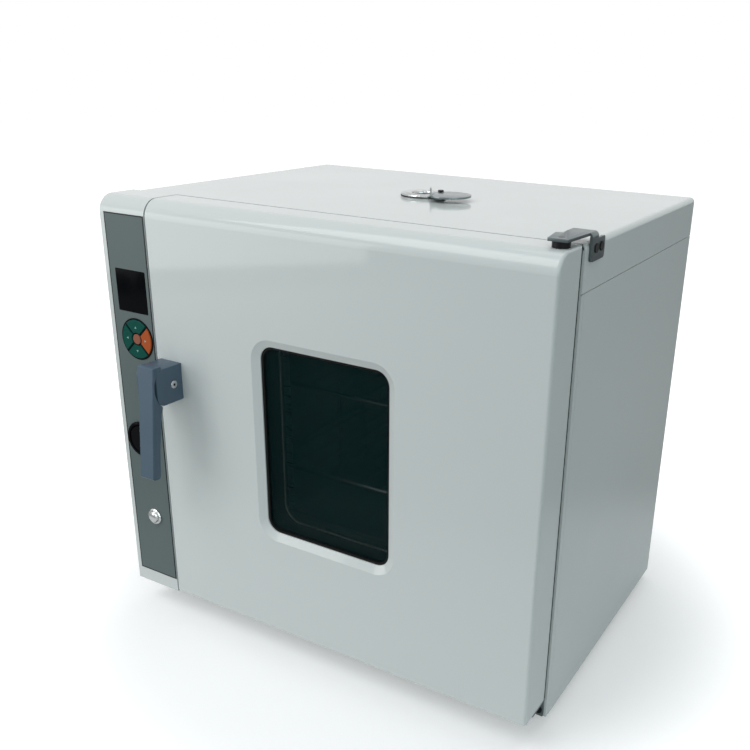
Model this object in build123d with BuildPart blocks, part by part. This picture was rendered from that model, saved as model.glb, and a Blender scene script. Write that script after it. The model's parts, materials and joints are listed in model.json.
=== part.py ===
"""Bench-top electric drying oven, as an assembly of separate pieces.

Frame: origin at the middle of the footprint on the bench, +Z up, the door faces -Y,
the door is hinged on the +X side.  Millimetres.
"""
import os
from math import atan2, cos, degrees, hypot, radians, sin

from build123d import *

os.makedirs("parts", exist_ok=True)

# ---------------------------------------------------------------- driving dimensions
# chamber
CH_W = 320.0
CH_H = 320.0
CH_D = 265.0
CH_R = 8.0                 # chamber corner radius
LINER_T = 1.0
SEAL_DEPTH = 5.0           # seal seat behind the front plane
SEAL_SEAT = 12.0           # width of the seal seat
SEAL_W = 9.0

# casing round the chamber
SHEET = 1.2                # casing sheet
LATCH_STILE = 57.0         # from the door edge to the chamber, room for the latch
HINGE_STILE = 65.0         # from the chamber to the hinge side
CH_LIFT = 80.0             # chamber floor above cabinet bottom
HEAD = 68.0                # chamber roof to the cabinet top
BACK_SPACE = 58.8          # behind the chamber, room for the motor
AIR_SIDE = 18.0            # insulation to the hinge side of the cabinet
AIR_LATCH = 11.0           # insulation to the middle of the latch
AIR_BELOW = 33.0
AIR_ABOVE = 21.0
INSUL_BACK = 36.0
SKIRT = 41.0               # how far the top cover comes down the sides
SEAM = 0.8                 # groove between top cover and side sheet
CAP_BEND = 5.0             # outer bend radius of the top cover
FLANGE = 15.0              # folded flanges of the casing sheets
FRAME_RETURN = 6.0         # side return of the front frame
LAP = 12.0                 # joggled lap behind the seam

# feet
FOOT_H = 12.0
FOOT_R = 14.0
FOOT_INSET = 28.0

# door and control column
DOOR_T = 45.0              # door thickness
DOOR_GAP = 2.0             # between door and cabinet
DOOR_INSET = 2.0           # door edge inside the cabinet side
DOOR_LIFT = 23.0           # door bottom above cabinet bottom
COLUMN_W = 62.0            # control column width
COLUMN_OUT = 6.0           # column beyond the side of the cabinet
COLUMN_GAP = 2.0           # between control column and door
COLUMN_LIFT = 20.0         # column bottom above cabinet bottom
BULLNOSE = 18.0            # rounded top front edge
EDGE_R = 3.0               # rounded vertical edges

# window
WIN_W = 149.0
WIN_H = 202.0
WIN_SHIFT = -6.8           # window centre from the chamber centre
WIN_RISE = 1.0
WIN_R = 15.0
BEVEL_W = 8.0
BEVEL_DEPTH = 4.5
GLASS_T = 4.0
GLASS_LAP = 4.0            # glass beyond the visible opening
SEALING = 2.5              # visible rubber line round the glass

# handle
GRIP_IN = 19.0             # middle of handle from the door edge
BASE_W = 28.0
BASE_H = 39.0
BASE_RISE = 27.0           # base bottom above the chamber centre
BASE_OUT = 35.0
PIVOT_OUT = 12.2           # lever pivot in front of the door
PIVOT_RISE = 46.1
LEVER_W = 22.0
LEVER_SHIFT = 3.0          # lever middle from the handle middle, towards the hinge
LEVER_TAPER = 3.0          # narrower at the tip, on the column side
LEVER_BEVEL = 0.9
LEVER_OUT = 51.0           # lever tip in front of the door
CHEEK = 4.0
PIN_D = 5.0
HOOK_T = 4.0

# hinges
AXIS_IN = 11.5             # hinge axis inside the cabinet side
AXIS_BACK = 23.0           # hinge axis behind the door front
PLATE_T = 2.5
PLATE_GAP = 5.5            # upper hinge plate above the door
LOW_GAP = 1.2              # lower hinge plate under the door
PIN_HINGE_D = 6.0
RUNNING = 0.05             # radial clearance of turning pins

# vent
VENT_SHIFT = (-13.6, 29.6) # vent centre from the middle of the chamber
VENT_R = 24.0
VENT_H = 4.0
VENT_BORE_R = 13.0
VENT_TURN = 145.0          # rest position of the disc, turned open
DISC_R = 22.4
DISC_T = 2.0

# fan
FAN_R = 70.0
FAN_T = 16.0
BLADES = 8
FAN_SPACE = 34.0           # between baffle and back wall

CLEAR = 0.3                # between bodies that move past each other

# ---------------------------------------------------------------- worked-out places
CAB_W = COLUMN_W - COLUMN_OUT + COLUMN_GAP + LATCH_STILE + CH_W + HINGE_STILE
CAB_H = CH_LIFT + CH_H + HEAD
CAB_D = SEAL_DEPTH + SHEET + CH_D + BACK_SPACE
HALF = CAB_W / 2
REAR_OUT = 8.0                                    # fuse cap behind the back sheet
DEPTH = LEVER_OUT + DOOR_T + DOOR_GAP + CAB_D + REAR_OUT
FACE_Y = -DEPTH / 2 + LEVER_OUT                   # front plane of door and column
CAB_Y = FACE_Y + DOOR_T + DOOR_GAP                # front plane of the cabinet
BACK_Y = CAB_Y + CAB_D
BASE_Z = FOOT_H
TOP_Z = BASE_Z + CAB_H
SEAM_Z = TOP_Z - SKIRT
COLUMN_X0 = -HALF - COLUMN_OUT
DOOR_X0 = COLUMN_X0 + COLUMN_W + COLUMN_GAP
DOOR_X1 = HALF - DOOR_INSET
DOOR_Z0 = BASE_Z + DOOR_LIFT
AXIS_X = HALF - AXIS_IN
AXIS_Y = FACE_Y + AXIS_BACK
CH_X = HALF - HINGE_STILE - CH_W / 2
CH_Z0 = BASE_Z + CH_LIFT
CH_Z = CH_Z0 + CH_H / 2
LINER_Y0 = CAB_Y + SEAL_DEPTH + SHEET
LINER_Y1 = LINER_Y0 + CH_D
BAFFLE_Y = LINER_Y1 - LINER_T - FAN_SPACE
WIN_X = CH_X + WIN_SHIFT
WIN_Z = CH_Z + WIN_RISE
GRIP_X = DOOR_X0 + GRIP_IN
PIVOT_Y = FACE_Y - PIVOT_OUT
PIVOT_Z = CH_Z + PIVOT_RISE
VENT_X = CH_X + VENT_SHIFT[0]
VENT_Y = (LINER_Y0 + BAFFLE_Y) / 2 + VENT_SHIFT[1]


def front(y):
    """Sketch plane facing the front at depth y: local x is +X, local y is +Z."""
    return Plane.XZ.offset(-y)


def side(x):
    """Sketch plane facing +X at x: local x is +Y, local y is +Z."""
    return Plane.YZ.offset(x)


def save(piece, name):
    """Label a finished sub-part and write its STEP file."""
    piece.part.label = name
    export_step(piece.part, f"parts/{name}.step")


def ring(inner, outer, corner):
    """Rounded rectangular ring in the current sketch; inner and outer are sizes."""
    RectangleRounded(*outer, corner)
    RectangleRounded(*inner, max(corner - (outer[0] - inner[0]) / 2, 1.0), mode=Mode.SUBTRACT)


# ---------------------------------------------------------------- casing
with BuildPart() as base_tray:
    tray_z = BASE_Z + SHEET
    tray_w = CAB_W - 2 * SHEET
    tray_y0 = CAB_Y + SHEET
    tray_d = BACK_Y - SHEET - tray_y0
    with BuildSketch(Plane.XY.offset(tray_z)):
        with Locations((0, tray_y0 + tray_d / 2)):
            Rectangle(tray_w, tray_d)
    extrude(amount=2 * FLANGE)
    tray_top = base_tray.faces().sort_by(Axis.Z)[-1]
    offset(amount=-SHEET, openings=tray_top)
    with Locations(Location((0, tray_y0 + tray_d / 2, tray_z))):
        with GridLocations(CAB_W * 0.5, 60, 2, 3):
            Box(60, 8, 3 * SHEET, mode=Mode.SUBTRACT)
save(base_tray, "base_tray")


def side_sheet(sign, name):
    """Side sheet with a bottom flange and a joggled lap behind the top cover."""
    x = [sign * v for v in (HALF, HALF - SHEET, HALF - 2 * SHEET, HALF - FLANGE)]
    top = SEAM_Z - SEAM
    with BuildPart() as sheet:
        with BuildSketch(front(BACK_Y)):
            with BuildLine():
                Polyline((x[0], BASE_Z), (x[0], top), (x[1], top), (x[1], SEAM_Z + LAP),
                         (x[2], SEAM_Z + LAP), (x[2], top - LAP), (x[1], top - LAP),
                         (x[1], BASE_Z + SHEET), (x[3], BASE_Z + SHEET), (x[3], BASE_Z),
                         close=True)
            make_face()
        extrude(amount=CAB_D - FRAME_RETURN - 0.4)
        with BuildSketch(front(BACK_Y)):
            with Locations((sign * (HALF - 1.5 * SHEET), SEAM_Z)):
                Rectangle(SHEET, 2 * LAP + 2)
        extrude(amount=SHEET, mode=Mode.SUBTRACT)
    save(sheet, name)


side_sheet(-1, "side_panel_left")
side_sheet(1, "side_panel_right")

with BuildPart() as top_cover:
    with BuildSketch(front(BACK_Y)):
        with Locations((0, TOP_Z - SKIRT / 2)):
            Rectangle(CAB_W, SKIRT)
    extrude(amount=CAB_D)
    long_edges = top_cover.edges().filter_by(Axis.Y).group_by(Axis.Z)[-1]
    fillet(long_edges, CAP_BEND)
    cover_open = top_cover.faces().filter_by(Axis.Y).sort_by(Axis.Y)[0]
    cover_under = top_cover.faces().sort_by(Axis.Z)[0]
    offset(amount=-SHEET, openings=[cover_open, cover_under])
    with BuildSketch(Plane.XY.offset(TOP_Z)):
        with Locations((VENT_X, VENT_Y)):
            Circle(VENT_BORE_R + SHEET)
    extrude(amount=-2 * SHEET, mode=Mode.SUBTRACT)
save(top_cover, "top_cover")

LOUVRES = 7
LOUVRE_PITCH = 14.0
LOUVRE_W = 110.0
LOUVRE_LIFT = 130.0
LOUVRE_IN = 100.0          # outer louvres from the side of the cabinet
INLET_IN = 80.0            # mains inlet from the side of the cabinet
INLET_LIFT = 70.0
INLET_W, INLET_H = 27.0, 20.0
INLET_RIM_W, INLET_RIM_H = 48.0, 24.0
FUSE_R = 6.5
FUSE_RIM = 2.5
FUSE_GAP = 12.0            # between the inlet rim and the fuse rim
INLET_X = -HALF + INLET_IN
INLET_Z = BASE_Z + INLET_LIFT
FUSE_X = INLET_X + INLET_RIM_W / 2 + FUSE_GAP + FUSE_RIM + FUSE_R
with BuildPart() as rear_panel:
    rear_z0 = BASE_Z + SHEET
    rear_z1 = SEAM_Z - SEAM
    with BuildSketch(front(BACK_Y)):
        with Locations((0, (rear_z0 + rear_z1) / 2)):
            Rectangle(CAB_W - 2 * SHEET, rear_z1 - rear_z0)
        with Locations((INLET_X, INLET_Z)):
            Rectangle(INLET_W, INLET_H, mode=Mode.SUBTRACT)
        with Locations((FUSE_X, INLET_Z)):
            Circle(FUSE_R, mode=Mode.SUBTRACT)
    extrude(amount=SHEET)
    louvre_places = [(x, z0 + LOUVRE_PITCH * i) for x in (-HALF + LOUVRE_IN, CH_X)
                     for z0 in (BASE_Z + LOUVRE_LIFT, ) for i in range(LOUVRES)]
    for x, z in louvre_places:
        with BuildSketch(side(x - LOUVRE_W / 2)):
            with BuildLine():
                Polyline((BACK_Y - SHEET, z), (BACK_Y - SHEET, z + 8), (BACK_Y, z + 8),
                         (BACK_Y + 4, z + 1.5), (BACK_Y + 4, z), close=True)
            make_face()
        extrude(amount=LOUVRE_W)
        with BuildSketch(side(x - LOUVRE_W / 2 + 1)):
            with BuildLine():
                Polyline((BACK_Y - 3 * SHEET, z - 1), (BACK_Y - 3 * SHEET, z + 6.5), (BACK_Y - SHEET, z + 6.5),
                         (BACK_Y + 3, z + 0.5), (BACK_Y + 3, z - 1), close=True)
            make_face()
        extrude(amount=LOUVRE_W - 2, mode=Mode.SUBTRACT)
save(rear_panel, "rear_panel")

# front frame: the cabinet's front plate, with the seal seat round the chamber mouth
LATCH_X = GRIP_X
SLOT_W = 9.0
SLOT_Z0 = PIVOT_Z - 44.0
SLOT_Z1 = PIVOT_Z + 12.0
WELD = 0.3                 # open seam between the latch stile and the frame
WELD_X = CH_X - CH_W / 2 - SEAL_SEAT - SHEET - 1.8
COLUMN_HOLE_IN = 10.0
COLUMN_HOLE_W = 36.0
COLUMN_HOLE_END = 60.0
with BuildPart() as front_frame:
    seat = (CH_W + 2 * SEAL_SEAT, CH_H + 2 * SEAL_SEAT)
    frame_top = TOP_Z - SHEET
    with BuildSketch(front(CAB_Y + SHEET)):
        with BuildLine():
            Polyline((-HALF, BASE_Z + SHEET), (-HALF, SEAM_Z - SEAM), (-HALF + SHEET, SEAM_Z - SEAM),
                     (-HALF + SHEET, frame_top - CAP_BEND), (-HALF + CAP_BEND, frame_top),
                     (HALF - CAP_BEND, frame_top), (HALF - SHEET, frame_top - CAP_BEND),
                     (HALF - SHEET, SEAM_Z - SEAM), (HALF, SEAM_Z - SEAM), (HALF, BASE_Z + SHEET),
                     close=True)
        make_face()
        with Locations((CH_X, CH_Z)):
            RectangleRounded(*seat, CH_R + SEAL_SEAT, mode=Mode.SUBTRACT)
        with Locations(((LATCH_X - SLOT_W / 2 + WELD_X) / 2, (SLOT_Z0 + SLOT_Z1) / 2)):
            Rectangle(WELD_X - LATCH_X + SLOT_W / 2, SLOT_Z1 - SLOT_Z0, mode=Mode.SUBTRACT)
        with Locations((WELD_X, BASE_Z + CAB_H / 2)):
            Rectangle(WELD, CAB_H, mode=Mode.SUBTRACT)
        with Locations((-HALF + COLUMN_HOLE_IN + COLUMN_HOLE_W / 2, BASE_Z + CAB_H / 2)):
            Rectangle(COLUMN_HOLE_W, CAB_H - 2 * COLUMN_HOLE_END, mode=Mode.SUBTRACT)
    extrude(amount=SHEET)
    with BuildSketch(front(CAB_Y + FRAME_RETURN)):
        for sign in (-1, 1):
            with Locations((sign * (HALF - SHEET / 2), (BASE_Z + SHEET + SEAM_Z - SEAM) / 2)):
                Rectangle(SHEET, SEAM_Z - SEAM - BASE_Z - SHEET)
    extrude(amount=FRAME_RETURN)
    with BuildSketch(front(LINER_Y0)):
        with Locations((CH_X, CH_Z)):
            RectangleRounded(seat[0] + 2 * SHEET, seat[1] + 2 * SHEET, CH_R + SEAL_SEAT + SHEET)
            RectangleRounded(*seat, CH_R + SEAL_SEAT, mode=Mode.SUBTRACT)
    extrude(amount=SEAL_DEPTH + SHEET)
    with BuildSketch(front(LINER_Y0)):
        with Locations((CH_X, CH_Z)):
            RectangleRounded(*seat, CH_R + SEAL_SEAT)
            RectangleRounded(CH_W, CH_H, CH_R, mode=Mode.SUBTRACT)
    extrude(amount=SHEET)
save(front_frame, "front_frame")

with BuildPart() as foot_set:
    foot_x = HALF - FOOT_INSET
    foot_y = CAB_D - 2 * FOOT_INSET
    with BuildSketch(Plane.XY):
        with Locations((0, (CAB_Y + BACK_Y) / 2)):
            with GridLocations(2 * foot_x, foot_y, 2, 2):
                Circle(FOOT_R - 2)
    extrude(amount=FOOT_H, taper=-9)
    chamfer(foot_set.edges().group_by(Axis.Z)[0], 1.2)
save(foot_set, "feet")

# ---------------------------------------------------------------- chamber
with BuildPart() as chamber_liner:
    liner_w, liner_h = CH_W + 2 * LINER_T, CH_H + 2 * LINER_T
    with BuildSketch(front(LINER_Y1)):
        with Locations((CH_X, CH_Z)):
            RectangleRounded(liner_w, liner_h, CH_R + LINER_T)
    extrude(amount=CH_D)
    with BuildSketch(front(LINER_Y1 - LINER_T)):
        with Locations((CH_X, CH_Z)):
            RectangleRounded(CH_W, CH_H, CH_R)
    extrude(amount=CH_D, mode=Mode.SUBTRACT)
    with BuildSketch(front(LINER_Y1)):
        with Locations((CH_X, CH_Z)):
            Circle(PIN_HINGE_D / 2 + 1.5)
    extrude(amount=2 * LINER_T, mode=Mode.SUBTRACT)
    with BuildSketch(Plane.XY.offset(CH_Z0 + CH_H - LINER_T)):
        with Locations((VENT_X, VENT_Y)):
            Circle(VENT_BORE_R)
    extrude(amount=3 * LINER_T, mode=Mode.SUBTRACT)
save(chamber_liner, "chamber_liner")

MOTOR_SQUARE = 104.0
INSUL_X0 = LATCH_X + AIR_LATCH
INSUL_X1 = HALF - AIR_SIDE
INSUL_Z0 = BASE_Z + AIR_BELOW
INSUL_Z1 = TOP_Z - AIR_ABOVE
with BuildPart() as insulation_jacket:
    with BuildSketch(front(LINER_Y1 + INSUL_BACK)):
        with Locations(((INSUL_X0 + INSUL_X1) / 2, (INSUL_Z0 + INSUL_Z1) / 2)):
            RectangleRounded(INSUL_X1 - INSUL_X0, INSUL_Z1 - INSUL_Z0, 6)
    extrude(amount=CH_D + INSUL_BACK)
    with BuildSketch(front(LINER_Y1)):
        with Locations((CH_X, CH_Z)):
            RectangleRounded(liner_w, liner_h, CH_R + LINER_T)
    extrude(amount=CH_D, mode=Mode.SUBTRACT)
    with BuildSketch(front(LINER_Y1 + INSUL_BACK)):
        with Locations((CH_X, CH_Z)):
            Rectangle(MOTOR_SQUARE, MOTOR_SQUARE)
    extrude(amount=INSUL_BACK, mode=Mode.SUBTRACT)
    with BuildSketch(Plane.XY.offset(CH_Z)):
        with Locations((VENT_X, VENT_Y)):
            Circle(VENT_BORE_R + SHEET)
    extrude(amount=CH_H, mode=Mode.SUBTRACT)
save(insulation_jacket, "insulation_jacket")

with BuildPart() as door_gasket:
    with BuildSketch(front(CAB_Y + SEAL_DEPTH)):
        with Locations((CH_X, CH_Z)):
            gasket_out = (CH_W + 2 * (SEAL_W + 2), CH_H + 2 * (SEAL_W + 2))
            gasket_in = (CH_W + 4, CH_H + 4)
            ring(gasket_in, gasket_out, CH_R + SEAL_W + 2)
    extrude(amount=SEAL_DEPTH + DOOR_GAP - CLEAR)
    chamfer(door_gasket.edges().group_by(Axis.Y)[0], 2)
save(door_gasket, "door_gasket")

# side racks: slotted posts screwed to the side walls, with hooked rails
POST_W = 16.0
POST_D = 6.0
POST_END = 10.0            # post ends short of the floor and the roof
POST_H = CH_H - 2 * POST_END
POST_PITCH = 25.0
POST_INSET = 35.0
post_ys = (LINER_Y0 + POST_INSET, BAFFLE_Y - POST_INSET)


with BuildPart() as rack_posts:
    slots = int(POST_H / POST_PITCH) - 1
    for sign in (-1, 1):
        wall = CH_X + sign * CH_W / 2
        with BuildSketch(Plane.XY.offset(CH_Z - POST_H / 2)):
            for y in post_ys:
                with Locations((wall - sign * POST_D / 2, y)):
                    Rectangle(POST_D, POST_W)
                with Locations((wall - sign * (POST_D - SHEET) / 2, y)):
                    Rectangle(POST_D - SHEET, POST_W - 2 * SHEET, mode=Mode.SUBTRACT)
        extrude(amount=POST_H)
    with BuildSketch(side(CH_X - CH_W / 2)):
        for y in post_ys:
            with Locations((y, CH_Z)):
                with GridLocations(1, POST_PITCH, 1, slots):
                    Rectangle(4, 9)
                    with Locations((0, 3)):
                        RegularPolygon(3.4, 6)
    extrude(amount=CH_W, mode=Mode.SUBTRACT)
save(rack_posts, "rack_posts")

# shelves
SHELF_LIFTS = {"shelf_lower": 90.0, "shelf_upper": 190.0}
ROD_R = 2.5
WIRE_R = 1.4
WIRES = 13
RAIL_W = 12.0
RAIL_T = 1.5
SHELF_FRONT = 32.0         # shelf behind the chamber mouth
SHELF_BACK = 3.0
SHELF_TRAVEL = 20.0
SHELF_W = CH_W - 2 * POST_D - 3
SHELF_Y1 = BAFFLE_Y - SHELF_BACK
SHELF_D = SHELF_Y1 - LINER_Y0 - SHELF_FRONT
SHELF_Y = SHELF_Y1 - SHELF_D / 2

with BuildPart() as shelf_rails:
    for lift in SHELF_LIFTS.values():
        rail_z = CH_Z0 + lift
        for sign in (-1, 1):
            post_face = CH_X + sign * (CH_W / 2 - POST_D)
            with BuildSketch(front(SHELF_Y1)):
                with BuildLine():
                    Polyline((post_face, rail_z), (post_face - sign * RAIL_W, rail_z),
                             (post_face - sign * RAIL_W, rail_z - RAIL_T),
                             (post_face - sign * RAIL_T, rail_z - RAIL_T),
                             (post_face - sign * RAIL_T, rail_z - RAIL_W),
                             (post_face, rail_z - RAIL_W), close=True)
                make_face()
            extrude(amount=SHELF_D)
save(shelf_rails, "shelf_rails")

for name, lift in SHELF_LIFTS.items():
    rod_z = CH_Z0 + lift + CLEAR + ROD_R
    rim = Location((CH_X, SHELF_Y, rod_z)) * RectangleRounded(SHELF_W - 2 * ROD_R, SHELF_D - 2 * ROD_R, 10)
    rim_path = rim.wire()
    with BuildPart() as shelf:
        with BuildSketch(Plane(origin=rim_path @ 0, z_dir=rim_path % 0)):
            RegularPolygon(ROD_R, 8, rotation=22.5)
        sweep(path=rim_path)
        with BuildSketch(front(SHELF_Y + SHELF_D / 2 - ROD_R)):
            with Locations((CH_X, rod_z)):
                with GridLocations((SHELF_W - 30) / (WIRES - 1), 1, WIRES, 1):
                    RegularPolygon(WIRE_R, 6)
        extrude(amount=SHELF_D - 2 * ROD_R)
        with BuildSketch(side(CH_X - SHELF_W / 2 + ROD_R)):
            with Locations((SHELF_Y, rod_z)):
                RegularPolygon(WIRE_R, 6)
        extrude(amount=SHELF_W - 2 * ROD_R)
    save(shelf, name)

# rear baffle on four standoffs, with an air intake in the middle and outlets at the sides
BAFFLE_W = CH_W - 24
BAFFLE_H = CH_H - 24
STANDOFF_IN = 23.0         # standoffs from the baffle edges
with BuildPart() as rear_baffle:
    with BuildSketch(front(BAFFLE_Y + LINER_T)):
        with Locations((CH_X, CH_Z)):
            RectangleRounded(BAFFLE_W, BAFFLE_H, 4)
            with HexLocations(6.5, 7, 7):
                RegularPolygon(4.2, 6, rotation=30, mode=Mode.SUBTRACT)
            with GridLocations(BAFFLE_W - 40, 34, 2, 7):
                Rectangle(5, 24, mode=Mode.SUBTRACT)
    extrude(amount=LINER_T)
    with BuildSketch(front(LINER_Y1 - LINER_T)):
        with Locations((CH_X, CH_Z)):
            with GridLocations(BAFFLE_W - 2 * STANDOFF_IN, BAFFLE_H - 2 * STANDOFF_IN, 2, 2):
                RegularPolygon(5, 6)
    extrude(amount=FAN_SPACE - LINER_T)
save(rear_baffle, "rear_baffle")

# fan: impeller and shaft turn together
FAN_Y = BAFFLE_Y + LINER_T + 6
HUB_R = 9.0
SHAFT_R = PIN_HINGE_D / 2
MOTOR_Y = LINER_Y1 + 12
MOTOR_T = 38.0
MOTOR_R = 38.0
with BuildPart() as fan_impeller:
    with BuildSketch(front(FAN_Y + FAN_T)):
        with Locations((CH_X, CH_Z)):
            Circle(FAN_R)
            Circle(SHAFT_R, mode=Mode.SUBTRACT)
    extrude(amount=1.2)
    with BuildSketch(front(FAN_Y + FAN_T)):
        with Locations((CH_X, CH_Z)):
            Circle(HUB_R)
            Circle(SHAFT_R, mode=Mode.SUBTRACT)
    extrude(amount=FAN_T)
    with BuildSketch(front(FAN_Y + FAN_T)):
        with Locations((CH_X, CH_Z)):
            with PolarLocations((FAN_R + 26) / 2, BLADES):
                Rectangle(FAN_R - 26, 1.2, rotation=18)
    extrude(amount=FAN_T - 2)
save(fan_impeller, "fan_impeller")

with BuildPart() as fan_shaft:
    with BuildSketch(front(MOTOR_Y + MOTOR_T - 6)):
        with Locations((CH_X, CH_Z)):
            Circle(SHAFT_R)
    extrude(amount=MOTOR_Y + MOTOR_T - 6 - FAN_Y)
save(fan_shaft, "fan_shaft")

with BuildPart() as fan_motor:
    with BuildSketch(front(MOTOR_Y + MOTOR_T)):
        with Locations((CH_X, CH_Z)):
            Circle(MOTOR_R)
    extrude(amount=MOTOR_T)
    chamfer(fan_motor.edges().filter_by(GeomType.CIRCLE), 3)
    with BuildSketch(front(MOTOR_Y + MOTOR_T - 5)):
        with Locations((CH_X, CH_Z)):
            Circle(SHAFT_R + RUNNING)
    extrude(amount=MOTOR_T, mode=Mode.SUBTRACT)
save(fan_motor, "fan_motor")

with BuildPart() as motor_mount:
    with BuildSketch(front(LINER_Y1 + 1.5)):
        with Locations((CH_X, CH_Z)):
            RectangleRounded(MOTOR_SQUARE - 4, MOTOR_SQUARE - 4, 6)
            Circle(SHAFT_R + 1.5, mode=Mode.SUBTRACT)
    extrude(amount=1.5)
    with BuildSketch(front(MOTOR_Y)):
        with Locations((CH_X, CH_Z)):
            with PolarLocations(MOTOR_R - 9, 4, start_angle=45):
                Circle(4)
    extrude(amount=MOTOR_Y - LINER_Y1 - 1)
save(motor_mount, "motor_mount")

# tubular heater: an open ring round the fan, with two legs through the back wall
HEATER_R = 95.0
HEATER_TUBE_R = 3.5
HEATER_Y = BAFFLE_Y + LINER_T + 15
HEATER_SWEEP = 336.0
with BuildPart() as heater_element:
    with BuildSketch(Plane(origin=(CH_X, HEATER_Y, CH_Z))):
        with Locations((HEATER_R, 0)):
            RegularPolygon(HEATER_TUBE_R, 8, rotation=22.5)
    revolve(axis=Axis((CH_X, HEATER_Y, CH_Z), (0, 1, 0)), revolution_arc=HEATER_SWEEP)
    heater_ends = [(CH_X + HEATER_R * cos(radians(t)), HEATER_Y, CH_Z - HEATER_R * sin(radians(t)))
                   for t in (0, HEATER_SWEEP)]
    leg = LINER_Y1 + 6 - HEATER_Y
    for x, y, z in heater_ends:
        with Locations((x, y + (leg - HEATER_TUBE_R) / 2, z)):
            Cylinder(HEATER_TUBE_R, leg + HEATER_TUBE_R, rotation=(90, 0, 0))
save(heater_element, "heater_element")
for body in (chamber_liner, insulation_jacket):
    with body:
        for x, y, z in heater_ends:
            with Locations((x, LINER_Y1, z)):
                Cylinder(HEATER_TUBE_R, 2 * INSUL_BACK if body is insulation_jacket else 4 * LINER_T,
                         rotation=(90, 0, 0), mode=Mode.SUBTRACT)
save(chamber_liner, "chamber_liner")
save(insulation_jacket, "insulation_jacket")

PROBE_R = 2.5
PROBE_L = 55.0
PROBE_Z = CH_Z0 + CH_H - 40
PROBE_Y = BAFFLE_Y - 12
with BuildPart() as temperature_probe:
    with BuildSketch(side(CH_X - CH_W / 2)):
        with Locations((PROBE_Y, PROBE_Z)):
            Circle(PROBE_R)
    extrude(amount=PROBE_L)
    with BuildSketch(side(CH_X - CH_W / 2)):
        with Locations((PROBE_Y, PROBE_Z)):
            RegularPolygon(6, 6)
    extrude(amount=6)
save(temperature_probe, "temperature_probe")

# ---------------------------------------------------------------- vent
RING_Z = TOP_Z + VENT_H
VENT_PIVOT_R = 20.5        # swivel pin from the middle of the bore
VENT_PIN_R = 1.5
VENT_EYE_R = 4.0
TAB_T = 1.5
TAB_H = 6.0
TAB_SPAN = (185.0, 240.0)  # the disc's edge is bent up between these directions
VP_X = VENT_X + VENT_PIVOT_R
VP_Y = VENT_Y
OPEN_DIR = radians(180 + VENT_TURN)
DISC_X = VP_X + VENT_PIVOT_R * cos(OPEN_DIR)
DISC_Y = VP_Y + VENT_PIVOT_R * sin(OPEN_DIR)
with BuildPart() as vent_tube:
    with BuildSketch(Plane.XY.offset(CH_Z0 + CH_H + LINER_T)):
        with Locations((VENT_X, VENT_Y)):
            Circle(VENT_BORE_R + SHEET)
            Circle(VENT_BORE_R, mode=Mode.SUBTRACT)
    extrude(amount=TOP_Z - CH_Z0 - CH_H - LINER_T)
save(vent_tube, "vent_tube")

with BuildPart() as vent_ring:
    with BuildSketch(Plane.XY.offset(TOP_Z)):
        with Locations((VENT_X, VENT_Y)):
            Circle(VENT_R)
            Circle(VENT_BORE_R, mode=Mode.SUBTRACT)
    extrude(amount=VENT_H)
    chamfer(vent_ring.edges().group_by(Axis.Z)[-1], 0.6)
    with BuildSketch(Plane.XY.offset(TOP_Z)):
        with Locations((VP_X, VP_Y)):
            Circle(VENT_PIN_R)
    extrude(amount=VENT_H, mode=Mode.SUBTRACT)
save(vent_ring, "vent_ring")

with BuildPart() as vent_disc:
    tab_ends = [(DISC_X + DISC_R * cos(radians(a)), DISC_Y + DISC_R * sin(radians(a))) for a in TAB_SPAN]
    tab_turn = atan2(tab_ends[1][1] - tab_ends[0][1], tab_ends[1][0] - tab_ends[0][0])
    tab_l = hypot(tab_ends[1][0] - tab_ends[0][0], tab_ends[1][1] - tab_ends[0][1])
    tab_z = RING_Z + CLEAR
    chord = Plane(origin=(*tab_ends[0], tab_z), x_dir=(cos(tab_turn), sin(tab_turn), 0),
                  z_dir=(sin(tab_turn), -cos(tab_turn), 0))
    with BuildSketch(Plane.XY.offset(tab_z)):
        with Locations((DISC_X, DISC_Y)):
            Circle(DISC_R)
        with Locations((VP_X, VP_Y)):
            Circle(VENT_EYE_R)
            Circle(VENT_PIN_R + RUNNING, mode=Mode.SUBTRACT)
    extrude(amount=DISC_T)
    with BuildSketch(chord):
        with Locations((tab_l / 2, 0)):
            Rectangle(3 * tab_l, 3 * DISC_T)
    extrude(amount=DISC_R, mode=Mode.SUBTRACT)
    with BuildSketch(chord):
        Polygon((0.6, 0), (1.2, DISC_T + TAB_H * 0.8), (tab_l * 0.3, DISC_T + TAB_H),
                (tab_l * 0.75, DISC_T + TAB_H * 0.5), (tab_l - 1, DISC_T), (tab_l - 0.6, 0), align=None)
    extrude(amount=-TAB_T)
save(vent_disc, "vent_disc")

with BuildPart() as vent_pivot:
    with BuildSketch(Plane.XY.offset(TOP_Z)):
        with Locations((VP_X, VP_Y)):
            Circle(VENT_PIN_R)
    extrude(amount=VENT_H + CLEAR + DISC_T + CLEAR)
    with BuildSketch(Plane.XY.offset(RING_Z + 2 * CLEAR + DISC_T)):
        with Locations((VP_X, VP_Y)):
            Circle(3.2)
    extrude(amount=1.6)
    chamfer(vent_pivot.edges().group_by(Axis.Z)[-1], 0.7)
save(vent_pivot, "vent_pivot")

# ---------------------------------------------------------------- door
DOOR_W = DOOR_X1 - DOOR_X0
DOOR_H = TOP_Z - DOOR_Z0


def bullnose_profile(x0, z0, y1):
    """Side profile of a front housing with a rounded top front edge, at x0."""
    with BuildSketch(side(x0)) as profile:
        with BuildLine():
            Polyline((y1, TOP_Z), (y1, z0), (FACE_Y, z0), (FACE_Y, TOP_Z - BULLNOSE))
            RadiusArc((FACE_Y, TOP_Z - BULLNOSE), (FACE_Y + BULLNOSE, TOP_Z), BULLNOSE)
            Line((FACE_Y + BULLNOSE, TOP_Z), (y1, TOP_Z))
        make_face()
    return profile.sketch


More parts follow.
